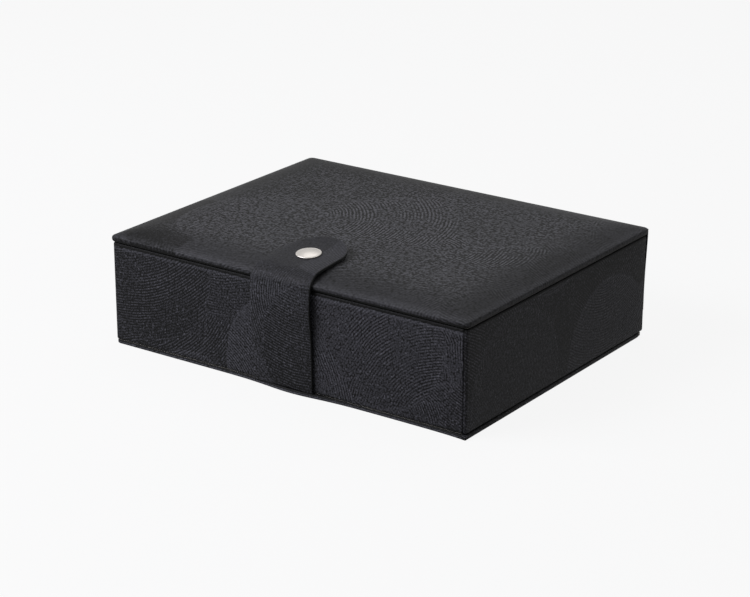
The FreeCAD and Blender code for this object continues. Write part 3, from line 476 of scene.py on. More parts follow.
def combed_leather(name, dark, pale, roughness, grain=1.0, crest=CREST, faintest=0.3, grit_weight=2.1):
    """Embossed polyurethane leather: overlapping fans of combed lines over a pebble grain, which
    come and go in patches, with a painted highlight on the arcs, the high grain and a few grains,
    over a dull black. grain is how far a padding opens the grain, and faintest is how deep the
    lines are where they go."""
    material, tree, shader = new_material(name, Roughness=roughness, Specular_IOR_Level=0.07)
    plan = add(tree, "UVMap", uv_map="grain")
    wobble = add(tree, "TexNoise", {"Vector": plan, "Scale": 1 / WANDER_LENGTH, "Detail": 3.0})
    *hide, _ = combed_fan(tree, plan, wobble, 0, grain)
    for layer in range(1, FAN_LAYERS):
        *fan, inside = combed_fan(tree, plan, wobble, layer, grain)
        hide = [add(tree, "Mix", {"Factor": inside, "A": below, "B": above})
                for below, above in zip(hide, fan)]
    comb, tone, outline = hide
    pebbles = add(tree, "TexVoronoi", {"Vector": plan, "Scale": 1 / (PEBBLE * grain), "Smoothness": 0.5},
                  voronoi_dimensions="2D", feature="SMOOTH_F1").outputs["Distance"]
    grit = add(tree, "TexNoise", {"Vector": plan, "Scale": 1 / (GRIT * grain), "Detail": 4.0,
                                  "Roughness": 0.65})
    patches = add(tree, "TexNoise", {"Vector": plan, "Scale": 1 / PATCH, "Detail": 2.0})
    pressed = add(tree, "MapRange", {0: patches, 1: 0.42, 2: 0.6, 3: faintest, 4: 0.88},
                  interpolation_type="SMOOTHSTEP")
    broken = add(tree, "MapRange", {0: grit, 1: 0.35, 2: 0.6, 3: 0.2, 4: 1.0})
    stretched = add(tree, "Attribute", attribute_name="stretch").outputs["Fac"]
    relief = add(tree, "Math", {0: stretched, 1: -FLATTENED, 2: 1.0}, operation="MULTIPLY_ADD")
    cut_depth = add(tree, "Math", {0: pressed, 1: broken}, operation="MULTIPLY")
    height = add(tree, "Math", {0: comb, 1: cut_depth}, operation="MULTIPLY")
    for form, weight in ((pebbles, PEBBLE_WEIGHT), (grit, grit_weight), (outline, OUTLINE_WEIGHT)):
        height = add(tree, "Math", {0: form, 1: weight, 2: height}, operation="MULTIPLY_ADD")
    bump = add(tree, "Bump", {"Strength": relief, "Distance": LEATHER_DEPTH, "Height": height})
    tree.links.new(bump.outputs[0], shader.inputs["Normal"])
    # One grain in six gets a painted glint, a pale speck in the colour
    grains = add(tree, "TexVoronoi", {"Vector": plan, "Scale": 1 / (GLINT * grain)}, voronoi_dimensions="2D")
    rare = add(tree, "SeparateColor", {0: grains.outputs["Color"]})
    few = add(tree, "MapRange", {0: rare, 1: 0.8, 2: 0.85})
    dot = add(tree, "MapRange", {0: grains.outputs["Distance"], 1: 0.3, 2: 0.1, 3: 0.0, 4: 0.5})
    glint = add(tree, "Math", {0: few, 1: dot}, operation="MULTIPLY")
    level = add(tree, "Math", {0: glint, 1: CREST_MEAN * (CREST - crest)}, operation="ADD")
    # Painted highlight on the high grain and the glinting grains, less where the leather is drawn tight
    crests = add(tree, "Math", {0: height, 1: crest, 2: level}, operation="MULTIPLY_ADD")
    crest_highlight = add(tree, "Math", {0: crests, 1: relief}, operation="MULTIPLY")
    shaded = add(tree, "Math", {0: tone, 1: FAN_SHADE, 2: crest_highlight}, operation="MULTIPLY_ADD")
    lifted = add(tree, "Math", {0: shaded, 1: -DULLNESS}, operation="ADD")
    # Painted light: painted shade in gaps and at feet, painted highlights on rounded edges and slopes
    painted_light = add(tree, "Attribute", attribute_name="painted_light").outputs["Fac"]
    marked = add(tree, "Math", {0: painted_light, 1: -1.0, 2: lifted}, operation="MULTIPLY_ADD",
                 use_clamp=True)
    # A Mix's colour sockets share their names with its other kinds, so they are given by number
    colour = add(tree, "Mix", {0: marked, 6: linear(dark), 7: linear(pale)}, data_type="RGBA")
    tree.links.new(colour.outputs[2], shader.inputs["Base Color"])
    return material


def fine_material(name, dark, pale, roughness, grit, depth, **sockets):
    """A matt material with a fine grit, whose colour goes between two shades."""
    material, tree, shader = new_material(name, Roughness=roughness, **sockets)
    place = add(tree, "TexCoord").outputs["Object"]
    grain = add(tree, "TexNoise", {"Vector": place, "Scale": 1 / grit, "Detail": 3.0})
    cloud = add(tree, "TexNoise", {"Vector": place, "Scale": 1 / CLOUD, "Detail": 2.0})
    both = add(tree, "Math", {0: grain, 1: cloud}, operation="ADD")
    shade = add(tree, "MapRange", {0: both, 1: 0.6, 2: 1.4})
    colour = add(tree, "Mix", {0: shade, 6: linear(dark), 7: linear(pale)}, data_type="RGBA")
    tree.links.new(colour.outputs[2], shader.inputs["Base Color"])
    bump = add(tree, "Bump", {"Distance": depth, "Height": grain})
    tree.links.new(bump.outputs[0], shader.inputs["Normal"])
    return material


def nickel(name, colour, roughness):
    """Nickel-plated brass: a warm white metal, tumbled to a fine satin."""
    material, tree, shader = new_material(name, Metallic=1.0)
    shader.inputs["Base Color"].default_value = linear(colour)
    place = add(tree, "TexCoord").outputs["Object"]
    grit = add(tree, "TexNoise", {"Vector": place, "Scale": 1 / (0.2 * MM), "Detail": 2.0})
    satin = add(tree, "MapRange", {0: grit, 1: 0.3, 2: 0.7, 3: roughness - 0.02, 4: roughness + 0.04})
    tree.links.new(satin.outputs[0], shader.inputs["Roughness"])
    bump = add(tree, "Bump", {"Strength": 0.3, "Distance": 0.001 * MM, "Height": grit})
    tree.links.new(bump.outputs[0], shader.inputs["Normal"])
    return material


MATERIALS = {
    # The dull black hide, with a grey painted highlight along its combed lines and crests
    "leather": combed_leather("combed_black_leather", "0a0a0a", "46464b", 0.6),
    # The same hide over foam: coarser, with a stronger painted highlight on its crests on top, and smooth
    # down the slopes
    "lid_leather": combed_leather("stretched_black_leather", "0a0a0a", "3e3e41", 0.6, grain=1.6,
                                  crest=1.1, faintest=0.1, grit_weight=2.6),
    # A plain, paler leather on the strap's inner side
    "lining": fine_material("strap_lining_leather", "202022", "2a2a2d", 0.55, 0.8 * MM, 0.05 * MM),
    # Black paint that closes the two plies into one smooth edge
    "paint": fine_material("black_edge_paint", "0a0a0a", "101011", 0.5, 1.5 * MM, 0.03 * MM,
                           Specular_IOR_Level=0.2),
    # A soft black nap, which turns paler where it is seen along its surface
    "velvet": fine_material("black_velvet", "161618", "26262a", 0.95, 0.5 * MM, 0.12 * MM,
                            Sheen_Weight=0.6, Sheen_Roughness=0.4),
    # Rough charcoal wool without any shine
    "felt": fine_material("charcoal_felt", "2b2b2d", "3d3d40", 1.0, 0.6 * MM, 0.2 * MM),
    # Smooth black paper over thin board
    "card": fine_material("black_card", "1c1c1d", "272728", 0.8, 0.3 * MM, 0.02 * MM),
    # Warm grey pulp with flecks, as bookbinders use it
    "greyboard": fine_material("greyboard", "7d7a74", "97938b", 0.9, 0.7 * MM, 0.05 * MM),
    # A soft warm gleam for the cap, and a sharper one for the fittings under it
    "satin_nickel": nickel("satin_nickel", "b0aca7", 0.4),
    "bright_nickel": nickel("bright_nickel", "cfccc8", 0.18),
}


# ---- camera, floor and light

def aimed(data, place, way):
    """A camera or lamp at a place, looking one way."""
    item = bpy.data.objects.new(data.name, data)
    bpy.context.scene.collection.objects.link(item)
    item.location = place
    item.rotation_mode = "QUATERNION"
    item.rotation_quaternion = way.to_track_quat("-Z", "Y")
    return item


def make_camera():
    data = bpy.data.cameras.new("camera")
    data.lens = CAMERA_LENS
    data.sensor_width = 36
    level = math.cos(CAMERA_ELEVATION)
    back = Vector((math.sin(CAMERA_AZIMUTH) * level, -math.cos(CAMERA_AZIMUTH) * level,
                   math.sin(CAMERA_ELEVATION)))
    bpy.context.scene.camera = aimed(data, CAMERA_TARGET + back * CAMERA_DISTANCE, -back)


BACKDROP = "f8f8f8"
TABLE_SHARE = 0.1  # how much of the table's own shade the view keeps beside its glow
FILL = 0.22  # strength of the room's even light on the box


def show(tree, lit, shown, output):
    """Ends a tree: one look for camera, mirror and glass rays, and one for the box's light."""
    path = add(tree, "LightPath")
    seen = path.outputs["Is Camera Ray"]
    for ray in ("Is Glossy Ray", "Is Transmission Ray"):
        seen = add(tree, "Math", {0: seen, 1: path.outputs[ray]}, operation="MAXIMUM")
    add(tree, output, {"Surface": add(tree, "MixShader", {0: seen, 1: lit, 2: shown})})


def make_floor():
    """A matt white table whose own colour fills the view and which keeps the box's shadow."""
    leave()
    bpy.ops.mesh.primitive_plane_add(size=12)
    floor = named("floor")
    material = bpy.data.materials.new("matt_white_table")
    material.use_nodes = True
    tree = material.node_tree
    tree.nodes.clear()
    matt = add(tree, "BsdfDiffuse", {"Color": linear("a0a0a0")})
    glow = add(tree, "Emission", {"Color": linear("ffffff"), "Strength": 1.0})
    shown = add(tree, "MixShader", {0: TABLE_SHARE, 1: glow, 2: matt})
    show(tree, matt, shown, "OutputMaterial")
    floor.data.materials.append(material)


def make_world():
    world = bpy.data.worlds.new("studio")
    world.use_nodes = True
    bpy.context.scene.world = world
    tree = world.node_tree
    tree.nodes.clear()
    shown = add(tree, "Background", {"Color": linear(BACKDROP), "Strength": 1.0})
    fill = add(tree, "Background", {"Color": linear("ffffff"), "Strength": FILL})
    show(tree, fill, shown, "OutputWorld")


def make_lamp(name, place, width, height, power, colour="ffffff"):
    """A softbox aimed at the box; metres and watts."""
    data = bpy.data.lights.new(name, "AREA")
    data.color = linear(colour)[:3]
    data.shape = "RECTANGLE"
    data.size = width
    data.size_y = height
    data.energy = power
    aimed(data, place, Vector((0, 0, 30 * MM)) - Vector(place))


def make_studio():
    make_floor()
    make_world()
    make_lamp("front_softbox", (-0.8, -0.95, 1.0), 1.2, 0.6, 42, "f6f6ff")
    make_lamp("top_softbox", (-0.2, 0.6, 1.4), 1.4, 1.0, 7)
    make_lamp("right_fill", (1.5, -0.2, 0.9), 0.8, 0.6, 3)
    bpy.context.scene.view_settings.view_transform = "Standard"


# ---- case

# Where the pieces are cut from the hide, in metres
RIM_CUT = 0.3
SIDE_CUT = 0.5
STRAP_CUT = 0.74
LINING_CUT = 0.9
BACK_CUT = 1.1
PANEL_CUT = 2.3


def wall_plane(point, normal):
    """Leather wrapped round the walls: front, left and back unrolled, the rim laid flat."""
    if abs(normal.z) > 0.8:
        return point.x + RIM_CUT, point.y
    if abs(normal.x) > abs(normal.y):
        return SIDE_CUT + (point.y if normal.x > 0 else -point.y), point.z
    return (point.x if normal.y < 0 else BACK_CUT - point.x), point.z


# Height over the table and painted light: painted shade at the foot, a painted highlight along the middle of
# the panel's edge and painted shade in the gap under the walls; at the right end no highlight, a little
# painted shade
BASE_SHADES = ((0.0, 0.6), (0.6 * MM, 0.4), (0.9 * MM, -1.6 * EDGE_HIGHLIGHT), (1.5 * MM, -1.6 * EDGE_HIGHLIGHT),
               (1.8 * MM, 0.6))
BASE_END_SHADES = ((0.0, 0.6), (0.6 * MM, 0.4), (0.9 * MM, 0.15), (1.8 * MM, 0.15))


def make_base():
    """The base panel, wrapped in leather, with a front edge that the strap's root pushes out."""
    piece, low, high = boxed("base_cover", "base_leather")
    edit(piece)
    for x, y, radius in ((low.x, low.y, BASE_CORNER), (low.x, high.y, BASE_CORNER),
                         (high.x, high.y, BASE_BACK_CORNER), (high.x, low.y, BASE_SHARP_CORNER)):
        pick(piece, "EDGE", lambda middle, way: abs(way.z) > 0.9
             and abs(middle.x - x) < NEAR and abs(middle.y - y) < NEAR)
        bevel(radius, 6)
    soften(piece, BASE_EDGE, 3)
    slice_up(piece, "x", span(low.x, high.x, 5 * MM))
    for vertex in piece.data.vertices:
        point = vertex.co
        if point.y < low.y + MM:
            corner = math.exp((point.x - high.x) / FLARE_LENGTH)
            point.y -= ROOT_BULGE * swell(point.x, ROOT_X, ROOT_SPREAD) + CORNER_FLARE * corner
            point.x += 0.5 * CORNER_FLARE * corner
    slice_up(piece, "z", [place for place, _ in BASE_SHADES[1:]])
    mark_painted_light(piece, lambda point: between(BASE_END_SHADES if point.x > high.x - MM
                                             else BASE_SHADES, point.z))
    lay_grain(piece, wall_plane)
    dressed(piece, "base_leather", ["base_leather"], "case")


CASE_LOW, CASE_HIGH = (corner.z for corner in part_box("case_leather"))
# Height on the walls and painted light: painted shade at the foot, faintly up the lower wall and in the gap
# under the lid, and a painted highlight under the rim
CASE_SHADES = (
    *((CASE_LOW + up * MM, painted_light) for up, painted_light in ((0, 1.0), (0.9, 0.25), (2.2, 0.07), (14, 0.05))),
    *((CASE_HIGH - down * MM, painted_light) for down, painted_light in (
        (12, 0.0), (4.2, 0.0), (3.2, -1.4 * EDGE_HIGHLIGHT), (2.2, -1.4 * EDGE_HIGHLIGHT), (1.6, 0.6), (1.1, 1.0), (0, 1.0))))


def make_case():
    """Front, left and back walls as one wrapped strip."""
    piece, low, high = boxed("case_cover", "case_leather")
    edit(piece)
    pick(piece, "FACE", lambda middle, way: abs(way.z) > 0.9 or way.x > 0.9)
    bpy.ops.mesh.delete(type="FACE")
    pick(piece, "EDGE", lambda middle, way: abs(way.z) > 0.9 and middle.x < low.x + NEAR)
    bevel(WALL_CORNER, 6)
    modify(piece, "SOLIDIFY", thickness=WALL, offset=-1, use_even_offset=True)

    def outer(middle):
        return middle.x < low.x + WALL - NEAR or abs(middle.y) > high.y - WALL + NEAR

    soften(piece, LEATHER_EDGE, 4, outer)
    soften(piece, 0.4 * MM, 2, lambda middle: not outer(middle) and middle.z > high.z - NEAR)
    slice_up(piece, "z", [place for place, _ in CASE_SHADES[1:-1]])
    mark_painted_light(piece, lambda point: between(CASE_SHADES, point.z) if outer(point) else 0)
    lay_grain(piece, wall_plane)
    dressed(piece, "case_leather", ["case_leather"], "case")


def make_tray_end():
    """The tray's right wall in leather, with the finger scoop."""
    piece, low, high = boxed("tray_end_cover", "tray_end_leather")
    drill(piece, SCOOP_RADIUS, 20 * MM, ((low.x + high.x) / 2, 0, SCOOP_CENTRE), turn=(0, QUARTER, 0))
    soften(piece, SCOOP_EDGE, 3, lambda middle: middle.z > high.z - SCOOP_RADIUS
           and abs(middle.y) < high.y - MM)
    lay_grain(piece, wall_plane)
    dressed(piece, "case_leather", ["tray_end_leather"], "case")


def open_box(name, node, wall, scoop=False):
    """A velvet-covered tray: a block hollowed from its top."""
    piece, low, high = boxed(name, node)
    edit(piece)
    pick(piece, "FACE", lambda middle, way: way.z > 0.9)
    bpy.ops.mesh.inset(thickness=wall, depth=0)
    pull((0, 0, low.z - high.z + wall))
    if scoop:
        drill(piece, SCOOP_RADIUS + 0.6 * MM, 4 * wall, (high.x, 0, SCOOP_CENTRE),
              turn=(0, QUARTER, 0))
    soften(piece, 0.3 * wall, 2, lambda middle: middle.z > low.z + wall - NEAR)
    return piece


def divider(name, node, slots_along, slots, from_top):
    """A velvet-covered card with half-height slots and a rounded upper edge."""
    piece, low, high = boxed(name, node)
    middle_z = (low.z + high.z) / 2
    axis = "xy".index(slots_along)
    tools = []
    for slot in slots:
        tool_low = Vector((low.x - MM, low.y - MM, middle_z if from_top else low.z - MM))
        tool_high = Vector((high.x + MM, high.y + MM, high.z + MM if from_top else middle_z))
        tool_low[axis] = slot - SLOT_HALF
        tool_high[axis] = slot + SLOT_HALF
        tools.append(block("slot_tool", tool_low, tool_high))
    carve(piece, *tools)
    wide = 1 - axis
    soften(piece, DIVIDER_EDGE, 3, lambda middle: middle.z > high.z - NEAR
           and min(abs(middle[wide] - low[wide]), abs(middle[wide] - high[wide])) < NEAR)
    return piece


def middles(nodes, axis):
    return [(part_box(node)[0][axis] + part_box(node)[1][axis]) / 2 for node in nodes]


def make_dividers(names, nodes, along, slots, from_top, body):
    """Like dividers side by side, modelled once and copied."""
    first = divider(names[0], nodes[0], along, slots, from_top)
    for name, node in zip(names[1:], nodes[1:]):
        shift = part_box(node)[0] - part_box(nodes[0])[0]
        dressed(copied(first, name, shift), "velvet", [node], body)
    dressed(first, "velvet", [nodes[0]], body)


def make_tray():
    """Velvet tray with its egg-crate dividers and a full partition beside the rolls."""
    dressed(open_box("tray_velvet", "tray_lining", TRAY_WALL, scoop=True), "velvet",
            ["tray_lining"], "case")
    longs = [f"tray_divider_long_{index}" for index in (1, 2, 3)]
    crosses = [f"tray_divider_cross_{index}" for index in (1, 2, 3)]
    for nodes, along, slots, from_top in ((longs, "x", middles(crosses, 0), True),
                                          (crosses, "y", middles(longs, 1), False),
                                          (["tray_partition"], "y", [], True)):
        make_dividers([f"{node}_card" for node in nodes], nodes, along, slots, from_top, "case")


def make_rolls():
    """Five soft rolls side by side in one velvet, which grip rings and cufflinks."""
    low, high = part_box("ring_rolls")
    pitch = (high.x - low.x + ROLL_GAP) / ROLLS
    width = pitch - ROLL_GAP
    first = block("ring_roll_1", low, (low.x + width, high.y, high.z))
    edit(first)
    pick(first, "EDGE", lambda middle, way: abs(way.y) > 0.9 and middle.z > high.z - NEAR)
    bevel(width * ROLL_ROUND, 7)
    slice_up(first, "y", span(low.y, high.y, 6 * MM))
    for vertex in first.data.vertices:
        end = min(vertex.co.y - low.y, high.y - vertex.co.y)
        height = (vertex.co.z - low.z) / (high.z - low.z)
        vertex.co.z -= ROLL_SINK * height * math.exp(-end / ROLL_SINK_LENGTH)
        dent = noise.noise(Vector((0, vertex.co.y * ROLL_DENTS, 0))) * ROLL_DENT
        vertex.co.z += min(dent, 0) * height
    soften(first, 0.5 * MM, 2, lambda middle: middle.z > low.z + NEAR, turn=60)
    rolls = [first] + [copied(first, f"ring_roll_{index + 1}", (pitch * index, 0, 0))
                       for index in range(1, ROLLS)]
    for roll in rolls:
        dressed(roll, "velvet", ["ring_rolls"], "case", smooth=60)


# ---- lid

def ring(x, y, z, corner):
    """Adds a rounded rectangle's outline to the mesh in edit mode; x and y are (low, high)."""
    centre = ((x[0] + x[1]) / 2, (y[0] + y[1]) / 2, z)
    bpy.ops.mesh.primitive_plane_add(size=1, location=centre)
    bpy.ops.transform.resize(value=(x[1] - x[0], y[1] - y[0], 1), center_override=centre)
    bevel(corner, 8, "VERTICES")
    bpy.ops.mesh.delete(type="ONLY_FACE")


LID_LOW, LID_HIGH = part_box("lid_leather")
# Distance from the lid's outline and how tight the leather is drawn there
LID_STRETCH = ((0.0, 0.85), (4 * MM, 1.0), (15 * MM, 0.9), (36 * MM, 0.0))


def lid_plane(point, normal):
    """One hide over the crown, unrolled over the lid's edges, which meet in mitres."""
    x, y, drop = point.x, point.y, LID_HIGH.z - point.z
    if min(x - LID_LOW.x, LID_HIGH.x - x) < min(y - LID_LOW.y, LID_HIGH.y - y):
        return x + math.copysign(drop, x), y
    return x, y + math.copysign(drop, y)


def make_lid():
    """Leather drawn over crowned foam, flat on top and rounded down to a thin edge."""
    low, high = LID_LOW, LID_HIGH
    shoulder = low.z + LID_EDGE
    rise = high.z - shoulder
    piece = sheet("lid_cover", (0, 0, 0), (0, 0, 0), (1, 1, 1))
    select_all()
    bpy.ops.mesh.delete(type="VERT")
    levels = [(LID_TURN_UNDER * (1 - math.sin(tip)), low.z + LID_TURN_UNDER * (1 - math.cos(tip)),
               LID_CORNER) for tip in map(math.radians, (0, 18, 36, 54, 72, 90))]
    levels += [(LID_SHOULDER * (1 - math.cos(tip)), shoulder - LID_SHOULDER * (1 - math.sin(tip)),
                LID_CORNER) for tip in map(math.radians, (0, 25, 50, 70))]
    start = levels[-1][1]
    for step in CROWN_STEPS:
        corner = LID_CORNER + (CROWN_CORNER - LID_CORNER) * step
        height = start + (high.z - start) * (1 - (1 - step) ** CROWN_POWER)
        levels.append((LID_SHOULDER + (CROWN_RUN - LID_SHOULDER) * step, height, corner))
    for inset, z, corner in levels:
        ring((low.x + inset, high.x - inset), (low.y + inset, high.y - inset), z, corner)
    bpy.ops.mesh.select_mode(type="EDGE")
    select_all()
    bpy.ops.mesh.bridge_edge_loops()
    for level in (low.z, high.z):
        pick(piece, "EDGE", lambda middle, way: abs(middle.z - level) < 0.01 * MM)
        bpy.ops.mesh.edge_face_add()
    face_outwards()
    slice_up(piece, "x", span(low.x, high.x, 9 * MM))
    slice_up(piece, "y", span(low.y, high.y, 9 * MM))
    for vertex in piece.data.vertices:
        if vertex.co.z > shoulder + 0.3 * rise:
            drift = noise.noise(Vector((vertex.co.x * CROWN_DIPS, vertex.co.y * CROWN_DIPS, 0.3)))
            vertex.co.z -= UNEVEN * (drift + 1) * (vertex.co.z - shoulder) / rise
    snap_low, snap_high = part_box("snap_stud")
    snap = (snap_low + snap_high) / 2
    drill(piece, DIMPLE_RADIUS, 20 * MM, (snap.x, snap.y, snap_low.z + 10 * MM), sides=64)

    def on_dimple(middle):
        return abs(math.hypot(middle.x - snap.x, middle.y - snap.y) - DIMPLE_RADIUS) < 0.1 * MM

    soften(piece, 0.5 * MM, 3, lambda middle: on_dimple(middle) and middle.z > snap_low.z + MM, turn=40)
    lay_grain(piece, lid_plane)

    def stretch_at(point):
        return between(LID_STRETCH, min(point.x - low.x, high.x - point.x,
                                        point.y - low.y, high.y - point.y))

    # Painted shade under the lid's edge, a painted highlight along its shoulder and a painted sheen down its
    # slopes
    def painted_light_at(point):
        if point.z < low.z + LID_TURN_UNDER:
            return 0.2 + (low.z + LID_TURN_UNDER - point.z) / (0.5 * LID_TURN_UNDER)
        highlight = 1.4 * EDGE_HIGHLIGHT * swell(point.z, shoulder, EDGE_HIGHLIGHT_WIDTH)
        return -highlight - SLOPE_SHEEN * stretch_at(point)

    mark(piece, "stretch", stretch_at)
    mark_painted_light(piece, painted_light_at)
    dressed(piece, "lid_leather", ["lid_leather", "lid_foam"], "lid")


def make_lid_pad():
    """A velvet-covered card that drops inside the rim."""
    piece, low, _ = boxed("lid_pad_cover", "lid_pad_velvet")
    edit(piece)
    pick(piece, "EDGE", lambda middle, way: abs(way.z) > 0.9)
    bevel(PAD_CORNER, 4)
    soften(piece, PAD_EDGE, 4, lambda middle: middle.z < low.z + NEAR)
    dressed(piece, "velvet", ["lid_pad_velvet"], "lid")


def make_hinge():
    """The hinge leather: glued to the back wall, free above, and glued to the lid's edge."""
    low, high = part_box("hinge_leather")
    piece = sheet("hinge_cover",
                  ((low.x + high.x) / 2, low.y + HINGE_LEATHER, (low.z + HINGE_BOND_TOP) / 2),
                  (-QUARTER, 0, 0), (high.x - low.x, HINGE_BOND_TOP - low.z, 1))
    for height in (HINGE_TURN, high.z):
        pull_top(piece, height, high.y)
    for height, width, steps in zip((HINGE_BOND_TOP, HINGE_TURN), HINGE_BENDS, (5, 3)):
        pick(piece, "EDGE", lambda middle, way: abs(middle.z - height) < NEAR)
        bevel(width, steps)
    slice_up(piece, "z", span(60 * MM, high.z, 0.6 * MM))
    modify(piece, "SOLIDIFY", thickness=HINGE_LEATHER, offset=-1, use_even_offset=True)
    soften(piece, 0.25 * MM, 2)
    lay_grain(piece, wall_plane)
    dressed(piece, "case_leather", ["hinge_leather"])
    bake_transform(piece)


# ---- strap

BEND_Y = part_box("strap_leather")[0].y + BEND_RADIUS
BEND_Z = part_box("tongue_leather")[1].z - TIP_LIFT - BEND_RADIUS


def strap_run(point):
    """Length along the strap to a point: up the front, round the bend, along the lid."""
    if point.z < BEND_Z:
        return point.z
    if point.y < BEND_Y:
        return BEND_Z + BEND_RADIUS * math.atan2(point.z - BEND_Z, BEND_Y - point.y)
    return BEND_Z + BEND_RADIUS * QUARTER + point.y - BEND_Y


def strap_plane(point, normal):
    """The strap's leather unrolled along its run; the lining lies elsewhere on the hide."""
    run = strap_run(point)
    side = LINING_CUT if normal.y > 0.5 or normal.z < -0.5 else 0.0
    return point.x + STRAP_CUT + side, run + (point.y * 0.2 if abs(normal.x) > 0.8 else 0)


# Run from the start of the bend, and how tight the leather is drawn there
STRAP_STRETCH = ((-2 * MM, 0.0), (7 * MM, 0.75))
# The same run and painted light: painted shade towards the foot, a painted highlight just under the bend
STRAP_SHADES = ((-BEND_Z, 0.09), (8 * MM - BEND_Z, -0.02), (-30 * MM, -0.09), (-14 * MM, -0.12),
                (-6 * MM, -0.18), (-1 * MM, -0.14), (7 * MM, -0.14))


def make_strap():
    """The long band: two plies as one, from above the fold to the round, slightly lifted tip."""
    low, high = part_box("strap_leather")
    _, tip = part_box("tongue_leather")
    cap_y = axis_of("snap_cap").y
    lift_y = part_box("snap_cap")[1].y
    middle_x = (low.x + high.x) / 2
    piece = sheet("strap_band", (middle_x, low.y, (BAND_JOIN + BEND_Z) / 2), (QUARTER, 0, 0),
                  (high.x - low.x, BEND_Z - BAND_JOIN, 1))
    pick(piece, "EDGE", lambda middle, way: middle.z > BEND_Z - NEAR)
    bpy.ops.mesh.spin(steps=12, angle=QUARTER, center=(0, BEND_Y, BEND_Z), axis=(1, 0, 0))
    for run in (tip.y - TIP_RUN - BEND_Y, TIP_RUN):
        pull((0, run, 0))
    pick(piece, "VERT", lambda middle, way: middle.y > tip.y - NEAR)
    bevel(TIP_CORNER, 16, "VERTICES")
    slice_up(piece, "z", span(BAND_JOIN, BEND_Z, 6 * MM))
    slice_up(piece, "y", span(BEND_Y, tip.y, 2.6 * MM))
    slice_up(piece, "x", span(low.x, high.x, 6 * MM))
    for vertex in piece.data.vertices:
        point = vertex.co
        past = strap_run(point) - BEND_Z
        turn = min(max(past / BEND_RADIUS, 0), QUARTER)
        sink = BEND_SAG * swell(past, 0.9 * BEND_RADIUS, 0.6 * BEND_RADIUS)
        sink -= STRAP_BULGE * swell(past, -1.3 * BEND_RADIUS, 1.3 * BEND_RADIUS)
        rise = math.tan(TONGUE_SLOPE) * (point.y - cap_y) * turn / QUARTER
        curl = max(0, point.y - lift_y) / (tip.y - lift_y)
        point.x -= BEND_NARROW * (point.x - middle_x) * math.sin(turn) ** 2
        if past < 0:
            point.y += STRAP_LEAN * (BEND_Z - point.z) / (BEND_Z - FOLD_Z)
        point.y += sink * math.cos(turn)
        point.z += rise - sink * math.sin(turn) + TIP_CURL * curl ** CURL_POWER
    for material in (MATERIALS["leather"], MATERIALS["paint"], MATERIALS["lining"]):
        piece.data.materials.append(material)
    modify(piece, "SOLIDIFY", thickness=STRAP_THICK, offset=-1, use_even_offset=True,
           material_offset_rim=1, material_offset=2)
    soften(piece, PLY_EDGE, 3, lambda middle: middle.z > BAND_JOIN + NEAR)
    lay_grain(piece, strap_plane)
    mark(piece, "stretch", lambda point: between(STRAP_STRETCH, strap_run(point) - BEND_Z))
    mark_painted_light(piece, lambda point: between(STRAP_SHADES, strap_run(point) - BEND_Z))
    dressed(piece, "strap_leather", ["strap_leather", "strap_lining", "tongue_leather", "tongue_lining"])
    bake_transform(piece)


def make_strap_root():
    """The root band: one ply from under the wall, folded up at the base and lined above."""
    low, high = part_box("strap_leather")
    _, root_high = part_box("strap_root")
    fold_y = low.y + STRAP_LEAN + FOLD_RADIUS
    join_y = low.y + STRAP_LEAN * (BEND_Z - BAND_JOIN) / (BEND_Z - FOLD_Z)
    lined_from = FOLD_Z + 0.4 * MM
    root_z = FOLD_Z - FOLD_RADIUS + PLY / 2
    piece = sheet("strap_root_band", (low.x, (fold_y + root_high.y) / 2, root_z), (0, QUARTER, 0),
                  (PLY, root_high.y - fold_y, 1))
    pick(piece, "EDGE", lambda middle, way: middle.y < fold_y + NEAR)
    bpy.ops.mesh.spin(steps=6, angle=QUARTER, center=(0, fold_y, FOLD_Z), axis=(1, 0, 0))
    for height in (lined_from, FOLD_Z + 1.6 * MM, BAND_JOIN):
        pull_top(piece, height)
    inner = fold_y - FOLD_RADIUS + PLY
    pick(piece, "EDGE", lambda middle, way: abs(middle.y - inner) < NEAR and middle.z > lined_from
         and abs(way.z) > 0.9)
    pull((0, PLY, 0))
    select_all()
    pull((high.x - low.x, 0, 0))
    face_outwards()
    leave()
    for vertex in piece.data.vertices:
        if vertex.co.z > FOLD_Z:
            vertex.co.y += (join_y - low.y - STRAP_LEAN) * (vertex.co.z - FOLD_Z) / (BAND_JOIN - FOLD_Z)
    soften(piece, PLY_EDGE, 3, lambda middle: middle.z < BAND_JOIN - NEAR
           and middle.y < inner - PLY + 0.3 * MM, turn=60)
    lay_grain(piece, strap_plane)
    dressed(piece, "strap_leather", ["strap_root"])
    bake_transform(piece)


# ---- snap

def axis_of(node):
    low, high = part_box(node)
    return (low + high) / 2


def tilted(piece, pivot):
    """Leans a fitting back with the slope of the tongue."""
    piece.data.transform(Matrix.Translation(pivot) @ Matrix.Rotation(TONGUE_SLOPE, 4, "X")
                         @ Matrix.Translation(-pivot))
    return piece


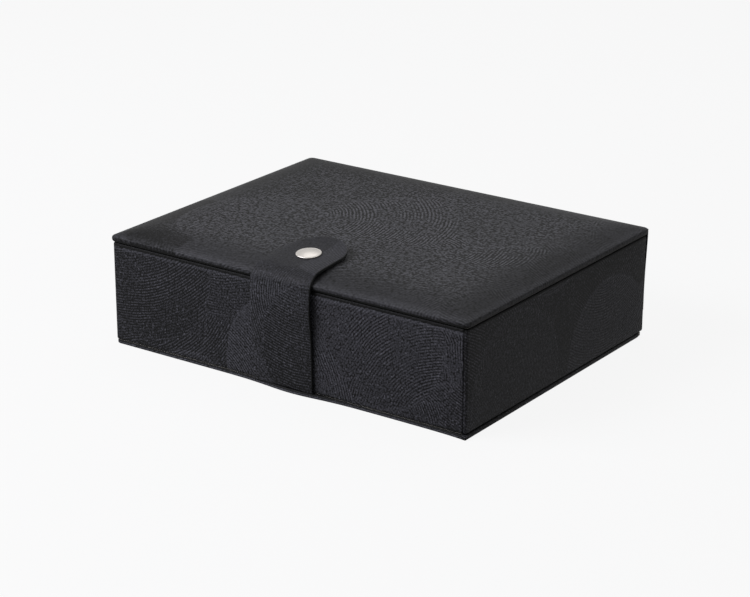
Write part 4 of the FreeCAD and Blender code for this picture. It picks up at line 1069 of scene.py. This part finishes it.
def make_snap():
    """Cap and socket on the tongue, stud on the lid; all turned from (radius, height) pairs."""
    axis = axis_of("snap_cap")
    low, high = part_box("snap_cap")
    seat = high.z - CAP_HEIGHT
    pivot = Vector((axis.x, axis.y, seat))
    radius = (high.x - low.x) / 2
    dome = radius - 0.75 * MM
    profile = [(POST_RADIUS, low.z), (POST_RADIUS, seat), (radius - 0.3 * MM, seat)]
    profile += [(radius - CAP_ROLL + CAP_ROLL * math.cos(tip), seat + 0.45 * MM + 0.4 * MM * math.sin(tip))
                for tip in map(math.radians, range(-60, 121, 30))]
    profile += [(dome * share, high.z - CAP_DOME * share ** 2.2)
                for share in (step / 12 for step in range(12, 0, -1))]
    profile.append((0, high.z))
    cap = tilted(turned("snap_cap_shell", axis, profile), pivot)
    dressed(cap, "satin_nickel", ["snap_cap"], "tongue")

    low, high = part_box("snap_socket")
    roof = high.z - 0.3 * MM
    foot = low.z + 0.3 * MM
    lip = 2.9 * MM
    hole = 1.8 * MM
    outer = (high.x - low.x) / 2
    profile = [(hole, roof), (lip + 0.5 * MM, roof), (lip + 0.5 * MM, low.z + 1.1 * MM),
               (lip, low.z + 0.8 * MM), (lip, foot), (lip + 0.3 * MM, low.z),
               (lip + 0.8 * MM, low.z), (lip + 1.0 * MM, foot), (outer - 1.0 * MM, foot),
               (outer - 0.7 * MM, low.z), (outer - 0.3 * MM, low.z), (outer, foot),
               (outer, high.z), (hole, high.z), (hole, roof)]
    socket = tilted(turned("snap_socket_ring", axis, profile), pivot)
    dressed(socket, "bright_nickel", ["snap_socket"], "tongue")

    low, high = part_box("snap_stud")
    flange = low.z + 0.5 * MM
    outer = (high.x - low.x) / 2
    profile = [(1.6 * MM, low.z), (outer - 0.2 * MM, low.z), (outer, low.z + 0.15 * MM),
               (outer, flange - 0.15 * MM), (outer - 0.2 * MM, flange), (3.1 * MM, flange),
               (2.6 * MM, flange + 0.2 * MM), (2.45 * MM, flange + 0.5 * MM),
               (2.6 * MM, flange + 0.8 * MM), (2.8 * MM, flange + 1.1 * MM),
               (2.75 * MM, flange + 1.5 * MM), (2.5 * MM, high.z - 0.1 * MM), (2.2 * MM, high.z),
               (1.5 * MM, high.z), (1.2 * MM, high.z - 0.25 * MM), (0, high.z - 0.3 * MM)]
    dressed(turned("snap_stud_post", axis, profile), "bright_nickel", ["snap_stud"], "lid")


# ---- drawer

PANEL_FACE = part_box("drawer_front_leather")[1].x


def panel_plane(point, normal):
    """The drawer front's leather, laid flat over its face and unrolled over its edges."""
    depth = PANEL_FACE - point.x
    along = point.y + PANEL_CUT
    if abs(normal.y) > abs(normal.z):
        return along + math.copysign(depth, normal.y), point.z
    return along, point.z + math.copysign(depth, normal.z)


def make_drawer_front():
    """The whole right end: a board wrapped in leather, with a backing card let in behind."""
    piece, low, high = boxed("drawer_front_cover", "drawer_front_leather")
    edit(piece)
    for back_foot, radius in ((False, PANEL_CORNER), (True, PANEL_LOW_CORNER)):
        pick(piece, "EDGE", lambda middle, way: abs(way.x) > 0.9
             and (middle.y > high.y - NEAR and middle.z < low.z + NEAR) == back_foot)
        bevel(radius, 4)
    pick(piece, "FACE", lambda middle, way: way.x < -0.9)
    bpy.ops.mesh.inset(thickness=BACKING_INSET, depth=0)
    pull((BACKING_THICK, 0, 0))
    soften(piece, PANEL_ROUND, 5, lambda middle: middle.x > high.x - NEAR)
    slice_up(piece, "y", span(low.y, high.y, 13 * MM))
    slice_up(piece, "z", span(low.z, high.z, 12 * MM))
    soften(piece, 0.5 * MM, 3, lambda middle: middle.x < low.x + NEAR and (
        abs(middle.y) > high.y - MM or middle.z > high.z - MM or middle.z < low.z + MM))
    # Painted shade along the lower edge, faint over the face, which is turned from the light, and full under
    # the lid
    painted_shades = ((low.z, 0.3), (low.z + PANEL_ROUND, 0.1), (high.z - PANEL_ROUND, 0.1), (high.z, 1.0))
    mark_painted_light(piece, lambda point: between(painted_shades, point.z))
    lay_grain(piece, panel_plane)
    dressed(piece, "case_leather", ["drawer_front_leather"], "drawer")


def make_drawer():
    """Card walls wrapped in black paper, a velvet tray and its dividers."""
    for node in ("drawer_floor", "drawer_side_front", "drawer_side_back", "drawer_inner_end",
                 "drawer_outer_end"):
        piece, *_ = boxed(f"{node}_wrapped", node)
        soften(piece, BOARD_EDGE, 2)
        dressed(piece, "card", [node], "drawer")
    dressed(open_box("drawer_velvet", "drawer_lining", BIN_WALL), "velvet", ["drawer_lining"], "drawer")
    crosses = ["drawer_divider_cross_1", "drawer_divider_cross_2"]
    make_dividers(["drawer_long_card"], ["drawer_divider_long"], "x", middles(crosses, 0), True, "drawer")
    make_dividers(["drawer_cross_card_1", "drawer_cross_card_2"], crosses, "y", [0], False, "drawer")


def finish_boards():
    """The boards, felts and rivet that stay as the frame holds them."""
    kinds = {"felts": "felt", "liner": "card", "deck": "card", "stop": "card", "floor": "card",
             "backing": "card", "rivet": "bright_nickel"}
    for name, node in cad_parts.items():
        kind = next((kinds[word] for word in kinds if word in name), "greyboard")
        node.data.materials.clear()
        node.data.materials.append(MATERIALS[kind])


make_camera()
make_studio()
finish_boards()
make_base()
make_case()
make_tray_end()
make_tray()
make_rolls()
make_lid()
make_lid_pad()
make_hinge()
make_strap()
make_strap_root()
make_snap()
make_drawer_front()
make_drawer()

leave()
